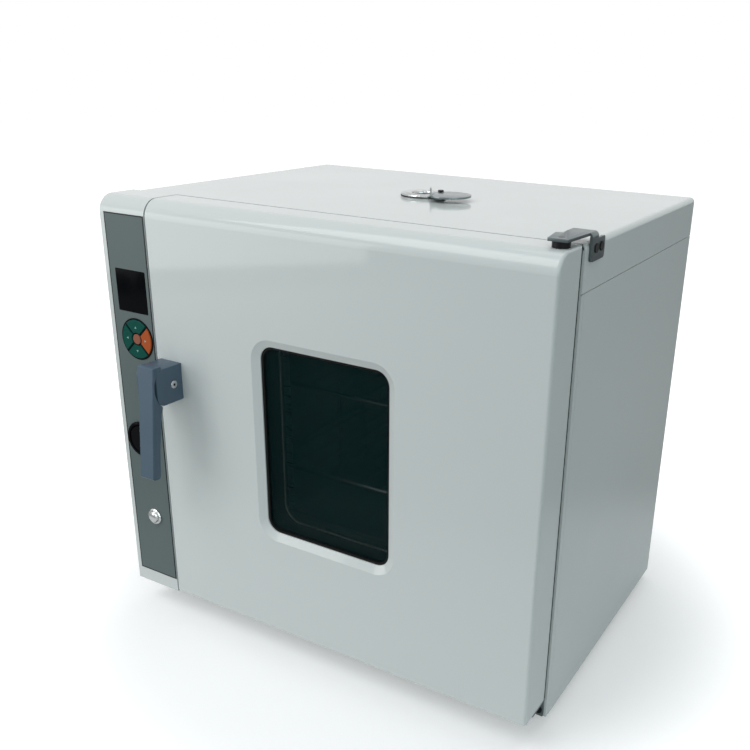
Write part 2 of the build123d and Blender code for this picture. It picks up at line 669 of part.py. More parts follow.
LINER_PLANE = FACE_Y + DOOR_T
WIN_OUT = (WIN_W + 2 * BEVEL_W, WIN_H + 2 * BEVEL_W)
with BuildPart() as door_skin:
    extrude(bullnose_profile(DOOR_X0, DOOR_Z0, LINER_PLANE - SHEET), amount=DOOR_W)
    right_edges = (door_skin.faces().sort_by(Axis.X)[-1].edges()
                   .filter_by(lambda e: e.center().Y < LINER_PLANE - SHEET - 0.1)
                   .filter_by(lambda e: e.center().Z > DOOR_Z0 + 0.1))
    fillet(right_edges, EDGE_R)
    door_back = door_skin.faces().sort_by(Axis.Y)[-1]
    offset(amount=-SHEET, openings=door_back)
    with BuildSketch(front(FACE_Y + BEVEL_DEPTH + SHEET)):
        with Locations((WIN_X, WIN_Z)):
            RectangleRounded(*WIN_OUT, WIN_R + BEVEL_W)
    extrude(amount=BEVEL_DEPTH + SHEET)
    with BuildSketch(front(FACE_Y)):
        with Locations((WIN_X, WIN_Z)):
            RectangleRounded(*WIN_OUT, WIN_R + BEVEL_W)
    extrude(amount=-BEVEL_DEPTH, taper=degrees(atan2(BEVEL_W, BEVEL_DEPTH)), mode=Mode.SUBTRACT)
    with BuildSketch(front(FACE_Y)):
        with Locations((WIN_X, WIN_Z)):
            RectangleRounded(WIN_W, WIN_H, WIN_R)
    extrude(amount=-3 * BEVEL_DEPTH, mode=Mode.SUBTRACT)
    with BuildSketch(front(FACE_Y)):
        with Locations((GRIP_X, PIVOT_Z - 3)):
            Rectangle(SLOT_W, 26)
    extrude(amount=-2 * SHEET, mode=Mode.SUBTRACT)
    for z in (TOP_Z, DOOR_Z0 + SHEET):
        with BuildSketch(Plane.XY.offset(z)):
            with Locations((AXIS_X, AXIS_Y)):
                Circle(PIN_HINGE_D / 2 + 1)
        extrude(amount=-SHEET, mode=Mode.SUBTRACT)
save(door_skin, "door_skin")

DOOR_SLOT_Z0 = PIVOT_Z - 36
DOOR_SLOT_Z1 = PIVOT_Z + 10
with BuildPart() as door_liner:
    with BuildSketch(front(LINER_PLANE)):
        with Locations(((DOOR_X0 + DOOR_X1) / 2, (DOOR_Z0 + TOP_Z) / 2)):
            Rectangle(DOOR_W, DOOR_H)
        with Locations((WIN_X, WIN_Z)):
            RectangleRounded(WIN_W - 8, WIN_H - 8, WIN_R - 4, mode=Mode.SUBTRACT)
        with Locations((GRIP_X, (DOOR_SLOT_Z0 + DOOR_SLOT_Z1) / 2)):
            Rectangle(SLOT_W, DOOR_SLOT_Z1 - DOOR_SLOT_Z0, mode=Mode.SUBTRACT)
    extrude(amount=SHEET)
    chamfer(door_liner.edges().filter_by(Axis.Z).sort_by(Axis.X)[-2:].sort_by(Axis.Y)[-1:], 1.0)
save(door_liner, "door_liner")

GLASS_Y = FACE_Y + BEVEL_DEPTH + SHEET + 1.5       # front of the outer glass
GLASS_W, GLASS_H = WIN_W + 2 * GLASS_LAP, WIN_H + 2 * GLASS_LAP
INNER_GLASS_Y = LINER_PLANE - SHEET - GLASS_T
for name, y in {"outer_glass": GLASS_Y, "inner_glass": INNER_GLASS_Y}.items():
    with BuildPart() as glass:
        with BuildSketch(front(y + GLASS_T)):
            with Locations((WIN_X, WIN_Z)):
                RectangleRounded(GLASS_W, GLASS_H, WIN_R + GLASS_LAP)
        extrude(amount=GLASS_T)
    save(glass, name)

with BuildPart() as window_gasket:
    rubber_front = FACE_Y + BEVEL_DEPTH + SHEET
    rubber_out = (GLASS_W + 6, GLASS_H + 6)
    with BuildSketch(front(GLASS_Y + GLASS_T + 1.5)):
        with Locations((WIN_X, WIN_Z)):
            RectangleRounded(*rubber_out, WIN_R + GLASS_LAP + 3)
            RectangleRounded(WIN_W - 2 * SEALING, WIN_H - 2 * SEALING, WIN_R - SEALING, mode=Mode.SUBTRACT)
    extrude(amount=GLASS_Y + GLASS_T + 1.5 - rubber_front)
    with BuildSketch(front(GLASS_Y + GLASS_T)):
        with Locations((WIN_X, WIN_Z)):
            RectangleRounded(GLASS_W, GLASS_H, WIN_R + GLASS_LAP)
    extrude(amount=GLASS_T, mode=Mode.SUBTRACT)
save(window_gasket, "window_gasket")

# sheet tunnel that ties both panes together
TUNNEL_Y0 = GLASS_Y + GLASS_T + 1.5
with BuildPart() as window_tunnel:
    with BuildSketch(front(INNER_GLASS_Y)):
        with Locations((WIN_X, WIN_Z)):
            RectangleRounded(*rubber_out, WIN_R + GLASS_LAP + 3)
            RectangleRounded(rubber_out[0] - 2 * SHEET, rubber_out[1] - 2 * SHEET, WIN_R + GLASS_LAP + 3 - SHEET,
                             mode=Mode.SUBTRACT)
    extrude(amount=INNER_GLASS_Y - TUNNEL_Y0)
save(window_tunnel, "window_tunnel")

HINGE_BLOCK = (16.0, 17.0, 26.0)
block_x = DOOR_X1 - EDGE_R - SHEET - HINGE_BLOCK[0] / 2
with BuildPart() as door_hinge_blocks:
    for z, way in ((TOP_Z - SHEET, -1), (DOOR_Z0 + SHEET, 1)):
        with BuildSketch(Plane.XY.offset(z)):
            with Locations((block_x, FACE_Y + BULLNOSE + 0.5 + HINGE_BLOCK[1] / 2)):
                Rectangle(HINGE_BLOCK[0], HINGE_BLOCK[1])
            with Locations((AXIS_X, AXIS_Y)):
                Circle(PIN_HINGE_D / 2 + RUNNING, mode=Mode.SUBTRACT)
        extrude(amount=way * HINGE_BLOCK[2])
save(door_hinge_blocks, "door_hinge_blocks")

with BuildPart() as door_insulation:
    fill_y0 = FACE_Y + SHEET
    fill_y1 = LINER_PLANE - SHEET
    with BuildSketch(front(fill_y1)):
        with Locations(((DOOR_X0 + DOOR_X1) / 2, (DOOR_Z0 + SHEET + TOP_Z - BULLNOSE) / 2)):
            Rectangle(DOOR_W - 2 * SHEET - 4, DOOR_H - SHEET - BULLNOSE - 1)
        with Locations((WIN_X, WIN_Z)):
            RectangleRounded(WIN_OUT[0] + 2, WIN_OUT[1] + 2, WIN_R + BEVEL_W + 1, mode=Mode.SUBTRACT)
        with Locations((GRIP_X, (DOOR_SLOT_Z0 + DOOR_SLOT_Z1) / 2)):
            Rectangle(SLOT_W + 2, DOOR_SLOT_Z1 - DOOR_SLOT_Z0 + 4, mode=Mode.SUBTRACT)
        for z in (TOP_Z, DOOR_Z0):
            with Locations((DOOR_X1, z)):
                Rectangle(60, 70, mode=Mode.SUBTRACT)
    extrude(amount=fill_y1 - fill_y0 - 0.2)
save(door_insulation, "door_insulation")

# ---------------------------------------------------------------- hinges
BRACKET_Y0 = CAB_Y + 8.0                           # front of the side leg
BRACKET_L = 30.0
BEND_L = 14.0                                      # width of the bend between plate and leg
LEG_H = 24.0
LEG_DROP = 5.5                                     # leg behind the bend, below the plate top
NOSE_IN, NOSE_OUT = 8.5, 8.5                       # plate on each side of the pin
NOSE_FRONT = 8.5
SCREW_D = 4.0
UPPER_SCREW_YS = (BRACKET_Y0 + 10, BRACKET_Y0 + BRACKET_L - 8)
UPPER_PLATE_Z = TOP_Z + PLATE_GAP                  # underside of the upper plate
LOWER_PLATE_Z = DOOR_Z0 - LOW_GAP - PLATE_T        # underside of the lower plate
UPPER_SCREW_Z = UPPER_PLATE_Z + PLATE_T - LEG_H + 10.5
LOWER_SCREW_Z = BASE_Z + SHEET + 8.0
LOWER_SCREW_XS = (AXIS_X - 9.0, AXIS_X + 4.0)
LOWER_LEG_Z0 = BASE_Z + SHEET + 1.0


with BuildPart() as upper_hinge_bracket:
    plate_top = UPPER_PLATE_Z + PLATE_T
    with BuildSketch(front(BRACKET_Y0 + BRACKET_L)):
        with BuildLine():
            Polyline((AXIS_X - NOSE_IN, plate_top), (HALF + PLATE_T, plate_top), (HALF + PLATE_T, plate_top - LEG_H),
                     (HALF, plate_top - LEG_H), (HALF, UPPER_PLATE_Z), (AXIS_X - NOSE_IN, UPPER_PLATE_Z), close=True)
        make_face()
    extrude(amount=BRACKET_L)
    fillet(upper_hinge_bracket.edges().filter_by(Axis.Y).group_by(Axis.X)[-1].sort_by(Axis.Z)[-1], PLATE_T + 1.5)
    with BuildSketch(side(AXIS_X - 2 * NOSE_IN)):
        with Locations((BRACKET_Y0 + BEND_L + BRACKET_L / 2, plate_top - LEG_DROP + LEG_H / 2)):
            Rectangle(BRACKET_L, LEG_H)
    extrude(amount=HALF, mode=Mode.SUBTRACT)
    leg_ends = upper_hinge_bracket.edges().filter_by(Axis.X).filter_by(lambda e: e.center().X > HALF)
    fillet([e for e in leg_ends if e.center().Y > BRACKET_Y0 + BRACKET_L - 1 or e.center().Z < plate_top - LEG_H + 1], 3)
    with BuildSketch(Plane.XY.offset(UPPER_PLATE_Z)):
        Polygon((AXIS_X - NOSE_IN, AXIS_Y - NOSE_FRONT), (AXIS_X + NOSE_OUT, AXIS_Y - NOSE_FRONT),
                (HALF, BRACKET_Y0), (HALF, BRACKET_Y0 + 1), (AXIS_X - NOSE_IN, BRACKET_Y0 + 1),
                (AXIS_X - NOSE_IN + 1, CAB_Y - 3), (AXIS_X - NOSE_IN - 4.5, CAB_Y - 5.5), align=None)
    extrude(amount=PLATE_T)
    with BuildSketch(Plane.XY.offset(UPPER_PLATE_Z)):
        with Locations((AXIS_X, AXIS_Y)):
            Circle(PIN_HINGE_D / 2)
    extrude(amount=PLATE_T, mode=Mode.SUBTRACT)
    with BuildSketch(side(HALF)):
        with Locations(*[(y, UPPER_SCREW_Z) for y in UPPER_SCREW_YS]):
            Circle(SCREW_D / 2)
    extrude(amount=PLATE_T, mode=Mode.SUBTRACT)
save(upper_hinge_bracket, "upper_hinge_bracket")

with BuildPart() as lower_hinge_bracket:
    with BuildSketch(Plane.XY.offset(LOWER_PLATE_Z)):
        with Locations(((2 * AXIS_X + 9 - 15.5) / 2, (AXIS_Y - NOSE_FRONT + CAB_Y) / 2)):
            Rectangle(24.5, CAB_Y - AXIS_Y + NOSE_FRONT)
        chamfer(vertices().group_by(Axis.Y)[0], 5)
        with Locations((AXIS_X, AXIS_Y)):
            Circle(PIN_HINGE_D / 2, mode=Mode.SUBTRACT)
    extrude(amount=PLATE_T)
    with BuildSketch(front(CAB_Y)):
        with Locations(((2 * AXIS_X + 9 - 15.5) / 2, (LOWER_LEG_Z0 + LOWER_PLATE_Z + PLATE_T) / 2)):
            Rectangle(24.5, LOWER_PLATE_Z + PLATE_T - LOWER_LEG_Z0)
        with Locations(*[(x, LOWER_SCREW_Z) for x in LOWER_SCREW_XS]):
            Circle(SCREW_D / 2, mode=Mode.SUBTRACT)
    extrude(amount=PLATE_T)
save(lower_hinge_bracket, "lower_hinge_bracket")

# shouldered pins: pressed into the plate, with a collar that the door turns under
COLLAR_R = 7.5
with BuildPart() as hinge_pins:
    for way, door_edge, gap in ((1, TOP_Z, PLATE_GAP), (-1, DOOR_Z0, LOW_GAP)):
        with BuildSketch(Plane.XY.offset(door_edge + way * (gap + PLATE_T))):
            with Locations((AXIS_X, AXIS_Y)):
                Circle(PIN_HINGE_D / 2)
        extrude(amount=-way * (gap + PLATE_T + HINGE_BLOCK[2] - 4))
        with BuildSketch(Plane.XY.offset(door_edge + way * gap)):
            with Locations((AXIS_X, AXIS_Y)):
                Circle(COLLAR_R)
        extrude(amount=-way * (gap - CLEAR))
save(hinge_pins, "hinge_pins")

HEAD_T = 0.8
with BuildPart() as hinge_screws:
    for plane, places in ((side(HALF), [(y, UPPER_SCREW_Z) for y in UPPER_SCREW_YS]),
                          (front(CAB_Y), [(x, LOWER_SCREW_Z) for x in LOWER_SCREW_XS])):
        with BuildSketch(plane):
            with Locations(*places):
                Circle(SCREW_D / 2)
        extrude(amount=PLATE_T)
        with BuildSketch(plane.offset(PLATE_T)):
            with Locations(*places):
                Circle(SCREW_D)
        extrude(amount=HEAD_T)
save(hinge_screws, "hinge_screws")

# ---------------------------------------------------------------- handle
BASE_Z0 = CH_Z + BASE_RISE
BASE_Z1 = BASE_Z0 + BASE_H
ROOF = 3.0
with BuildPart() as handle_base:
    with BuildSketch(side(GRIP_X - BASE_W / 2)):
        with BuildLine():
            out = FACE_Y - BASE_OUT
            Polyline((FACE_Y, BASE_Z0), (FACE_Y, BASE_Z1), (out, BASE_Z1), (out, BASE_Z0), close=True)
        make_face()
    extrude(amount=BASE_W)
    fillet(handle_base.edges().filter_by(Axis.X).group_by(Axis.Y)[0], 10)
    with BuildSketch(side(GRIP_X - BASE_W / 2 + CHEEK)):
        with Locations((FACE_Y - BASE_OUT / 2 - 2, (BASE_Z0 + BASE_Z1) / 2 - ROOF)):
            Rectangle(BASE_OUT + 4, BASE_H)
    extrude(amount=BASE_W - 2 * CHEEK, mode=Mode.SUBTRACT)
    with BuildSketch(side(GRIP_X - BASE_W / 2)):
        with Locations((FACE_Y - 1.5, (BASE_Z0 + BASE_Z1) / 2)):
            Rectangle(3, BASE_H)
    extrude(amount=BASE_W)
    with BuildSketch(front(FACE_Y)):
        with Locations((GRIP_X, PIVOT_Z - 3)):
            Rectangle(SLOT_W, 26)
    extrude(amount=5, mode=Mode.SUBTRACT)
    with BuildSketch(side(GRIP_X - BASE_W / 2)):
        with Locations((PIVOT_Y, PIVOT_Z)):
            Circle(PIN_D / 2)
    extrude(amount=BASE_W, mode=Mode.SUBTRACT)
save(handle_base, "handle_base")

with BuildPart() as handle_pivot:
    with BuildSketch(side(GRIP_X - BASE_W / 2)):
        with Locations((PIVOT_Y, PIVOT_Z)):
            Circle(PIN_D / 2)
    extrude(amount=BASE_W)
    with BuildSketch(side(GRIP_X + BASE_W / 2)):
        with Locations((PIVOT_Y, PIVOT_Z)):
            Circle(4.2)
    extrude(amount=1)
save(handle_pivot, "handle_pivot")

TONGUE_W = BASE_W - 2 * CHEEK - 2
INNER_R = 26.2
with BuildPart() as handle_lever:
    rel = {"top_out": (-25.8, 23.3), "tip_out": (-38.7, -94.4), "tip_in": (-28.8, -96.0),
           "back_mid": (-25.8, -63.0), "back_top": (-19.5, -27.0)}
    at = {k: (PIVOT_Y + y, PIVOT_Z + z) for k, (y, z) in rel.items()}
    with BuildSketch(side(GRIP_X + LEVER_SHIFT - LEVER_W / 2)):
        with BuildLine():
            Polyline(at["back_top"], at["back_mid"], at["tip_in"], at["tip_out"], at["top_out"],
                     (PIVOT_Y - 16, PIVOT_Z + 23.3), (PIVOT_Y - 10, PIVOT_Z), close=True)
        make_face()
        with Locations((PIVOT_Y, PIVOT_Z)):
            Circle(INNER_R, mode=Mode.SUBTRACT)
    extrude(amount=LEVER_W)
    fillet(handle_lever.edges().filter_by(Axis.X).group_by(Axis.Z)[0], 3)
    lever_x0 = GRIP_X + LEVER_SHIFT - LEVER_W / 2
    with BuildSketch(front(FACE_Y)):
        Polygon((lever_x0 - 1, at["top_out"][1] + 1), (lever_x0, at["top_out"][1] + 1),
                (lever_x0 + LEVER_TAPER, at["tip_in"][1] - 1), (lever_x0 - 1, at["tip_in"][1] - 1), align=None)
    extrude(amount=LEVER_OUT + 5, mode=Mode.SUBTRACT)
    lever_front = handle_lever.faces().filter_by(lambda f: f.normal_at().Y < -0.9).sort_by(SortBy.AREA)[-1]
    chamfer(lever_front.edges(), LEVER_BEVEL)
    with BuildSketch(side(GRIP_X - TONGUE_W / 2)):
        with BuildLine():
            tongue = [radians(a) for a in (185, 228)]
            far = INNER_R + 0.5
            Polyline((PIVOT_Y, PIVOT_Z), *[(PIVOT_Y + far * cos(a), PIVOT_Z + far * sin(a)) for a in tongue],
                     close=True)
        make_face()
        with Locations((PIVOT_Y, PIVOT_Z)):
            Circle(7.5)
            Circle(PIN_D / 2 + RUNNING, mode=Mode.SUBTRACT)
    extrude(amount=TONGUE_W)
    with BuildSketch(side(GRIP_X - HOOK_T / 2)):
        with Locations((PIVOT_Y + 8, PIVOT_Z)):
            Rectangle(12, 12)
    extrude(amount=HOOK_T, mode=Mode.SUBTRACT)
save(handle_lever, "handle_lever")

STRIKER_R = 3.0
STRIKER_Y = CAB_Y + 10.0
BEAK_H = 4.0
with BuildPart() as latch_hook:
    arm_y0 = PIVOT_Y + 2.5 + 0.6
    with BuildSketch(side(GRIP_X - HOOK_T / 2)):
        with BuildLine():
            beak_y = STRIKER_Y + STRIKER_R + 1
            Polyline((arm_y0, PIVOT_Z - 5), (arm_y0, PIVOT_Z + 4), (beak_y, PIVOT_Z + 4), (beak_y, PIVOT_Z + 4 + BEAK_H),
                     (beak_y + 4, PIVOT_Z + 4 + BEAK_H), (beak_y + 6, PIVOT_Z - 2), (beak_y + 2, PIVOT_Z - 5),
                     close=True)
        make_face()
    extrude(amount=HOOK_T)
save(latch_hook, "latch_hook")

with BuildPart() as striker:
    striker_z = PIVOT_Z + 4 + BEAK_H + 0.5 + STRIKER_R
    with BuildSketch(side(LATCH_X - 10)):
        with Locations((STRIKER_Y, striker_z)):
            Circle(STRIKER_R)
    extrude(amount=20)
    for sign in (-1, 1):
        with BuildSketch(side(LATCH_X + sign * 9 - 1)):
            with Locations(((CAB_Y + SHEET + STRIKER_Y + 3) / 2, striker_z + STRIKER_R)):
                Rectangle(STRIKER_Y + 3 - CAB_Y - SHEET, 4 * STRIKER_R)
        extrude(amount=2)
save(striker, "striker")

# ---------------------------------------------------------------- control column
COLUMN_Z0 = BASE_Z + COLUMN_LIFT
COLUMN_X = COLUMN_X0 + COLUMN_W / 2
OVERLAY_T = 0.5
OVERLAY_IN = 6.0                                   # overlay from the outer edge of the column
OVERLAY_EDGE = 0.4                                 # and from the edge beside the door
OVERLAY_X0 = COLUMN_X0 + OVERLAY_IN
OVERLAY_X1 = COLUMN_X0 + COLUMN_W - OVERLAY_EDGE
OVERLAY_Z0 = BASE_Z + 36.0
OVERLAY_Z1 = TOP_Z - 16.0 - CLEAR
DISPLAY = (42.5, 45.0)
DISPLAY_X = COLUMN_X + 4.7
DISPLAY_Z = TOP_Z - 95.5
PAD_R = 22.6
PAD_X = COLUMN_X + 6.6
PAD_Z = TOP_Z - 146.5
SWITCH_R = 20.3
SWITCH_X = COLUMN_X - 2.0
SWITCH_Z = BASE_Z + 205.0
BUTTON_R = 7.0
BUTTON_X = COLUMN_X + 6.5
BUTTON_Z = BASE_Z + 111.5
BEZEL_R = 9.5
BEZEL_OUT = 2.5                                    # rims of switch and button in front of the overlay


def panel_holes():
    """Openings shared by the fascia and its overlay."""
    with Locations((DISPLAY_X, DISPLAY_Z)):
        RectangleRounded(*DISPLAY, 1.5)
    with Locations((PAD_X, PAD_Z)):
        Circle(PAD_R)
    with Locations((SWITCH_X, SWITCH_Z)):
        Circle(SWITCH_R - 2)
    with Locations((BUTTON_X, BUTTON_Z)):
        Circle(BEZEL_R - 2)


with BuildPart() as control_fascia:
    extrude(bullnose_profile(COLUMN_X0, COLUMN_Z0, CAB_Y), amount=COLUMN_W)
    column_back = control_fascia.faces().sort_by(Axis.Y)[-1]
    offset(amount=-SHEET, openings=column_back)
    with BuildSketch(front(FACE_Y)):
        panel_holes()
    extrude(amount=-2 * SHEET, mode=Mode.SUBTRACT)
save(control_fascia, "control_fascia")

with BuildPart() as control_overlay:
    with BuildSketch(front(FACE_Y)):
        with Locations(((OVERLAY_X0 + OVERLAY_X1) / 2, (OVERLAY_Z0 + OVERLAY_Z1) / 2)):
            Rectangle(OVERLAY_X1 - OVERLAY_X0, OVERLAY_Z1 - OVERLAY_Z0)
    extrude(amount=OVERLAY_T)
    with BuildSketch(front(FACE_Y)):
        panel_holes()
    extrude(amount=OVERLAY_T, mode=Mode.SUBTRACT)
save(control_overlay, "control_overlay")

with BuildPart() as display_window:
    with BuildSketch(front(FACE_Y + SHEET)):
        with Locations((DISPLAY_X, DISPLAY_Z)):
            RectangleRounded(*DISPLAY, 1.5)
    extrude(amount=SHEET + OVERLAY_T)
save(display_window, "display_window")

BOARD_T = 1.6
BOARD_MARGIN = 3.8
BOARD_BACK = 8.0                                   # board behind the column sheet
BOARD_W = COLUMN_W - 2 * SHEET - 2 * BOARD_MARGIN
BOARD_Z0 = PAD_Z - PAD_R - BOARD_MARGIN
BOARD_Z1 = DISPLAY_Z + DISPLAY[1] / 2 + BOARD_MARGIN
with BuildPart() as display_board:
    with BuildSketch(front(FACE_Y + SHEET + BOARD_BACK + BOARD_T)):
        with Locations((COLUMN_X, (BOARD_Z0 + BOARD_Z1) / 2)):
            Rectangle(BOARD_W, BOARD_Z1 - BOARD_Z0)
    extrude(amount=BOARD_T)
    with BuildSketch(front(FACE_Y + SHEET + BOARD_BACK)):
        with Locations((DISPLAY_X, DISPLAY_Z)):
            Rectangle(DISPLAY[0] - BOARD_MARGIN, DISPLAY[1] - 2 * BOARD_MARGIN)
    extrude(amount=BOARD_BACK - CLEAR)
    with BuildSketch(front(FACE_Y + SHEET + BOARD_BACK)):
        with Locations((PAD_X, PAD_Z)):
            with PolarLocations(PAD_R * 0.6, 4):
                Rectangle(5, 5)
            Rectangle(4, 4)
    extrude(amount=BOARD_BACK * 0.4)
save(display_board, "display_board")

KEY_TRAVEL = 0.6
KEY_OUT = 1.6
KEY_CENTRE_R = 5.5
KEY_GAP = 1.5              # between the centre key and the others
KEY_HALF_GAP = 1.1         # half the gap between neighbouring keys
PAD_RIM = 1.5
with BuildPart() as keypad_bezel:
    with BuildSketch(front(FACE_Y + SHEET)):
        with Locations((PAD_X, PAD_Z)):
            Circle(PAD_R)
            Circle(PAD_R - PAD_RIM, mode=Mode.SUBTRACT)
            Circle(KEY_CENTRE_R + KEY_GAP - CLEAR)
            for turn in (45, -45):
                Rectangle(2 * PAD_R - PAD_RIM, 2 * (KEY_HALF_GAP - CLEAR), rotation=turn)
            Circle(KEY_CENTRE_R + CLEAR, mode=Mode.SUBTRACT)
    extrude(amount=SHEET + OVERLAY_T + 0.4)
save(keypad_bezel, "keypad_bezel")

wedge = PAD_R * 1.5
apex = KEY_HALF_GAP * 2 ** 0.5
for name, turn in {"key_right": 0, "key_up": 90, "key_left": 180, "key_down": 270}.items():
    with BuildPart() as key:
        with BuildSketch(front(FACE_Y + SHEET + 3)):
            with Locations((PAD_X, PAD_Z)):
                Circle(PAD_R - PAD_RIM - CLEAR)
                Circle(KEY_CENTRE_R + KEY_GAP, mode=Mode.SUBTRACT)
                Polygon((apex, 0), (wedge, wedge - apex), (wedge, apex - wedge), rotation=turn,
                        align=None, mode=Mode.INTERSECT)
        extrude(amount=SHEET + 3 + OVERLAY_T + KEY_OUT)
        chamfer(key.edges().group_by(Axis.Y)[0], 0.5)
    save(key, name)

with BuildPart() as key_centre:
    with BuildSketch(front(FACE_Y + SHEET + 3)):
        with Locations((PAD_X, PAD_Z)):
            Circle(KEY_CENTRE_R)
    extrude(amount=SHEET + 3 + OVERLAY_T + KEY_OUT)
    chamfer(key_centre.edges().group_by(Axis.Y)[0], 0.5)
save(key_centre, "key_centre")

# round power rocker in its housing, tilting on two trunnions
ROCKER_R = SWITCH_R - 4.8
BORE_R = SWITCH_R - 3.5
HOUSING_D = 24.0
ROCKER_AXIS = 4.0                                  # trunnions behind the column face
TRUNNION_R = 1.5
TRUNNION_L = 1.0
with BuildPart() as switch_housing:
    with BuildSketch(front(FACE_Y - OVERLAY_T)):
        with Locations((SWITCH_X, SWITCH_Z)):
            Circle(SWITCH_R)
    extrude(amount=BEZEL_OUT)
    chamfer(switch_housing.edges().group_by(Axis.Y)[0], 0.8)
    with BuildSketch(front(FACE_Y - OVERLAY_T)):
        with Locations((SWITCH_X, SWITCH_Z)):
            Circle(SWITCH_R - 2)
    extrude(amount=-HOUSING_D)
    with BuildSketch(front(FACE_Y - OVERLAY_T - BEZEL_OUT)):
        with Locations((SWITCH_X, SWITCH_Z)):
            Circle(BORE_R)
    extrude(amount=-(HOUSING_D - 2), mode=Mode.SUBTRACT)
    with BuildSketch(side(SWITCH_X - BORE_R - TRUNNION_L)):
        with Locations((FACE_Y + ROCKER_AXIS, SWITCH_Z)):
            Circle(TRUNNION_R + RUNNING)
    extrude(amount=2 * (BORE_R + TRUNNION_L), mode=Mode.SUBTRACT)
save(switch_housing, "switch_housing")

ROCK_Y = FACE_Y + 8.0
with BuildPart() as power_rocker:
    rocker_face = FACE_Y - OVERLAY_T - BEZEL_OUT
    with BuildSketch(side(SWITCH_X - ROCKER_R)):
        Polygon((ROCK_Y, SWITCH_Z - ROCKER_R * 0.6), (rocker_face, SWITCH_Z - ROCKER_R),
                (rocker_face + 0.8, SWITCH_Z), (rocker_face, SWITCH_Z + ROCKER_R),
                (ROCK_Y, SWITCH_Z + ROCKER_R * 0.6), align=None)
    extrude(amount=2 * ROCKER_R)
    with BuildSketch(front(ROCK_Y)):
        with Locations((SWITCH_X, SWITCH_Z)):
            Circle(ROCKER_R)
    extrude(amount=HOUSING_D, mode=Mode.INTERSECT)
    with BuildSketch(side(SWITCH_X - BORE_R - TRUNNION_L + CLEAR)):
        with Locations((FACE_Y + ROCKER_AXIS, SWITCH_Z)):
            Circle(TRUNNION_R)
    extrude(amount=2 * (BORE_R + TRUNNION_L - CLEAR))
save(power_rocker, "power_rocker")

BUTTON_TRAVEL = 2.0
with BuildPart() as button_bezel:
    with BuildSketch(front(FACE_Y - OVERLAY_T)):
        with Locations((BUTTON_X, BUTTON_Z)):
            Circle(BEZEL_R)
    extrude(amount=BEZEL_OUT)
    chamfer(button_bezel.edges().group_by(Axis.Y)[0], 1.0)
    with BuildSketch(front(FACE_Y - OVERLAY_T)):
        with Locations((BUTTON_X, BUTTON_Z)):
            Circle(BEZEL_R - 2)
    extrude(amount=-22)
    with BuildSketch(front(FACE_Y - OVERLAY_T - BEZEL_OUT)):
        with Locations((BUTTON_X, BUTTON_Z)):
            Circle(BUTTON_R - 0.5)
    extrude(amount=-18, mode=Mode.SUBTRACT)
save(button_bezel, "button_bezel")

with BuildPart() as push_button:
    with BuildSketch(front(FACE_Y + 6)):
        with Locations((BUTTON_X, BUTTON_Z)):
            Circle(BUTTON_R - 0.5 - CLEAR)
    extrude(amount=6 + OVERLAY_T + BEZEL_OUT + 2.2)
    chamfer(push_button.edges().group_by(Axis.Y)[0], 0.8)
save(push_button, "push_button")

CTRL_D, CTRL_H = 110.0, 150.0
CTRL_IN = 28.0                                     # board inside the side sheet
CTRL_Y = CAB_Y + CAB_D * 0.3
CTRL_Z = BASE_Z + CAB_H * 0.53
with BuildPart() as controller_board:
    board_x = -HALF + SHEET + CTRL_IN
    with BuildSketch(side(board_x)):
        with Locations((CTRL_Y, CTRL_Z)):
            Rectangle(CTRL_D, CTRL_H)
    extrude(amount=BOARD_T)
    with BuildSketch(side(board_x + BOARD_T)):
        with Locations((CTRL_Y - CTRL_D * 0.22, CTRL_Z + CTRL_H * 0.23)):
            Rectangle(CTRL_D * 0.35, CTRL_H * 0.3)
        with Locations((CTRL_Y + CTRL_D * 0.22, CTRL_Z + CTRL_H * 0.27), (CTRL_Y + CTRL_D * 0.22, CTRL_Z + CTRL_H * 0.08)):
            Rectangle(CTRL_D * 0.26, CTRL_H * 0.13)
    extrude(amount=CTRL_IN * 0.7)
    with BuildSketch(side(-HALF + SHEET)):
        with Locations((CTRL_Y, CTRL_Z)):
            with GridLocations(CTRL_D - 14, CTRL_H - 14, 2, 2):
                RegularPolygon(3, 6)
    extrude(amount=CTRL_IN)
save(controller_board, "controller_board")

with BuildPart() as power_inlet:
    with BuildSketch(front(BACK_Y + 2.5)):
        with Locations((INLET_X, INLET_Z)):
            RectangleRounded(INLET_RIM_W, INLET_RIM_H, 3)
    extrude(amount=2.5)
    with BuildSketch(front(BACK_Y)):
        with Locations((INLET_X, INLET_Z)):
            Rectangle(INLET_W, INLET_H)
    extrude(amount=18)
    with BuildSketch(front(BACK_Y + 2.5)):
        with Locations((INLET_X, INLET_Z)):
            Rectangle(INLET_W - 4, INLET_H - 4)
    extrude(amount=16, mode=Mode.SUBTRACT)
    with BuildSketch(front(BACK_Y)):
        with Locations((INLET_X, INLET_Z)):
            with GridLocations(7, 0, 3, 1):
                Rectangle(2, 4)
    extrude(amount=16)
save(power_inlet, "power_inlet")

with BuildPart() as fuse_holder:
    with BuildSketch(front(BACK_Y + 2)):
        with Locations((FUSE_X, INLET_Z)):
            Circle(FUSE_R + FUSE_RIM)
    extrude(amount=2)
    with BuildSketch(front(BACK_Y + REAR_OUT)):
        with Locations((FUSE_X, INLET_Z)):
            Circle(FUSE_R)
    extrude(amount=REAR_OUT + 20)
    chamfer(fuse_holder.edges().group_by(Axis.Y)[-1], 1)
save(fuse_holder, "fuse_holder")

CASE_SCREW_R = 3.2
with BuildPart() as casing_screws:
    with BuildSketch(front(BACK_Y + 2)):
        for z in (BASE_Z + 20, BASE_Z + CAB_H / 2, SEAM_Z - 14):
            with Locations((-HALF + 12, z), (HALF - 12, z)):
                Circle(CASE_SCREW_R)
    extrude(amount=2)
save(casing_screws, "casing_screws")
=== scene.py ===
"""Looks of the bench-top drying oven: finishes, small trim, lights and camera round the model."""
import json
from math import cos, radians, sin

import bpy
from mathutils import Matrix, Vector

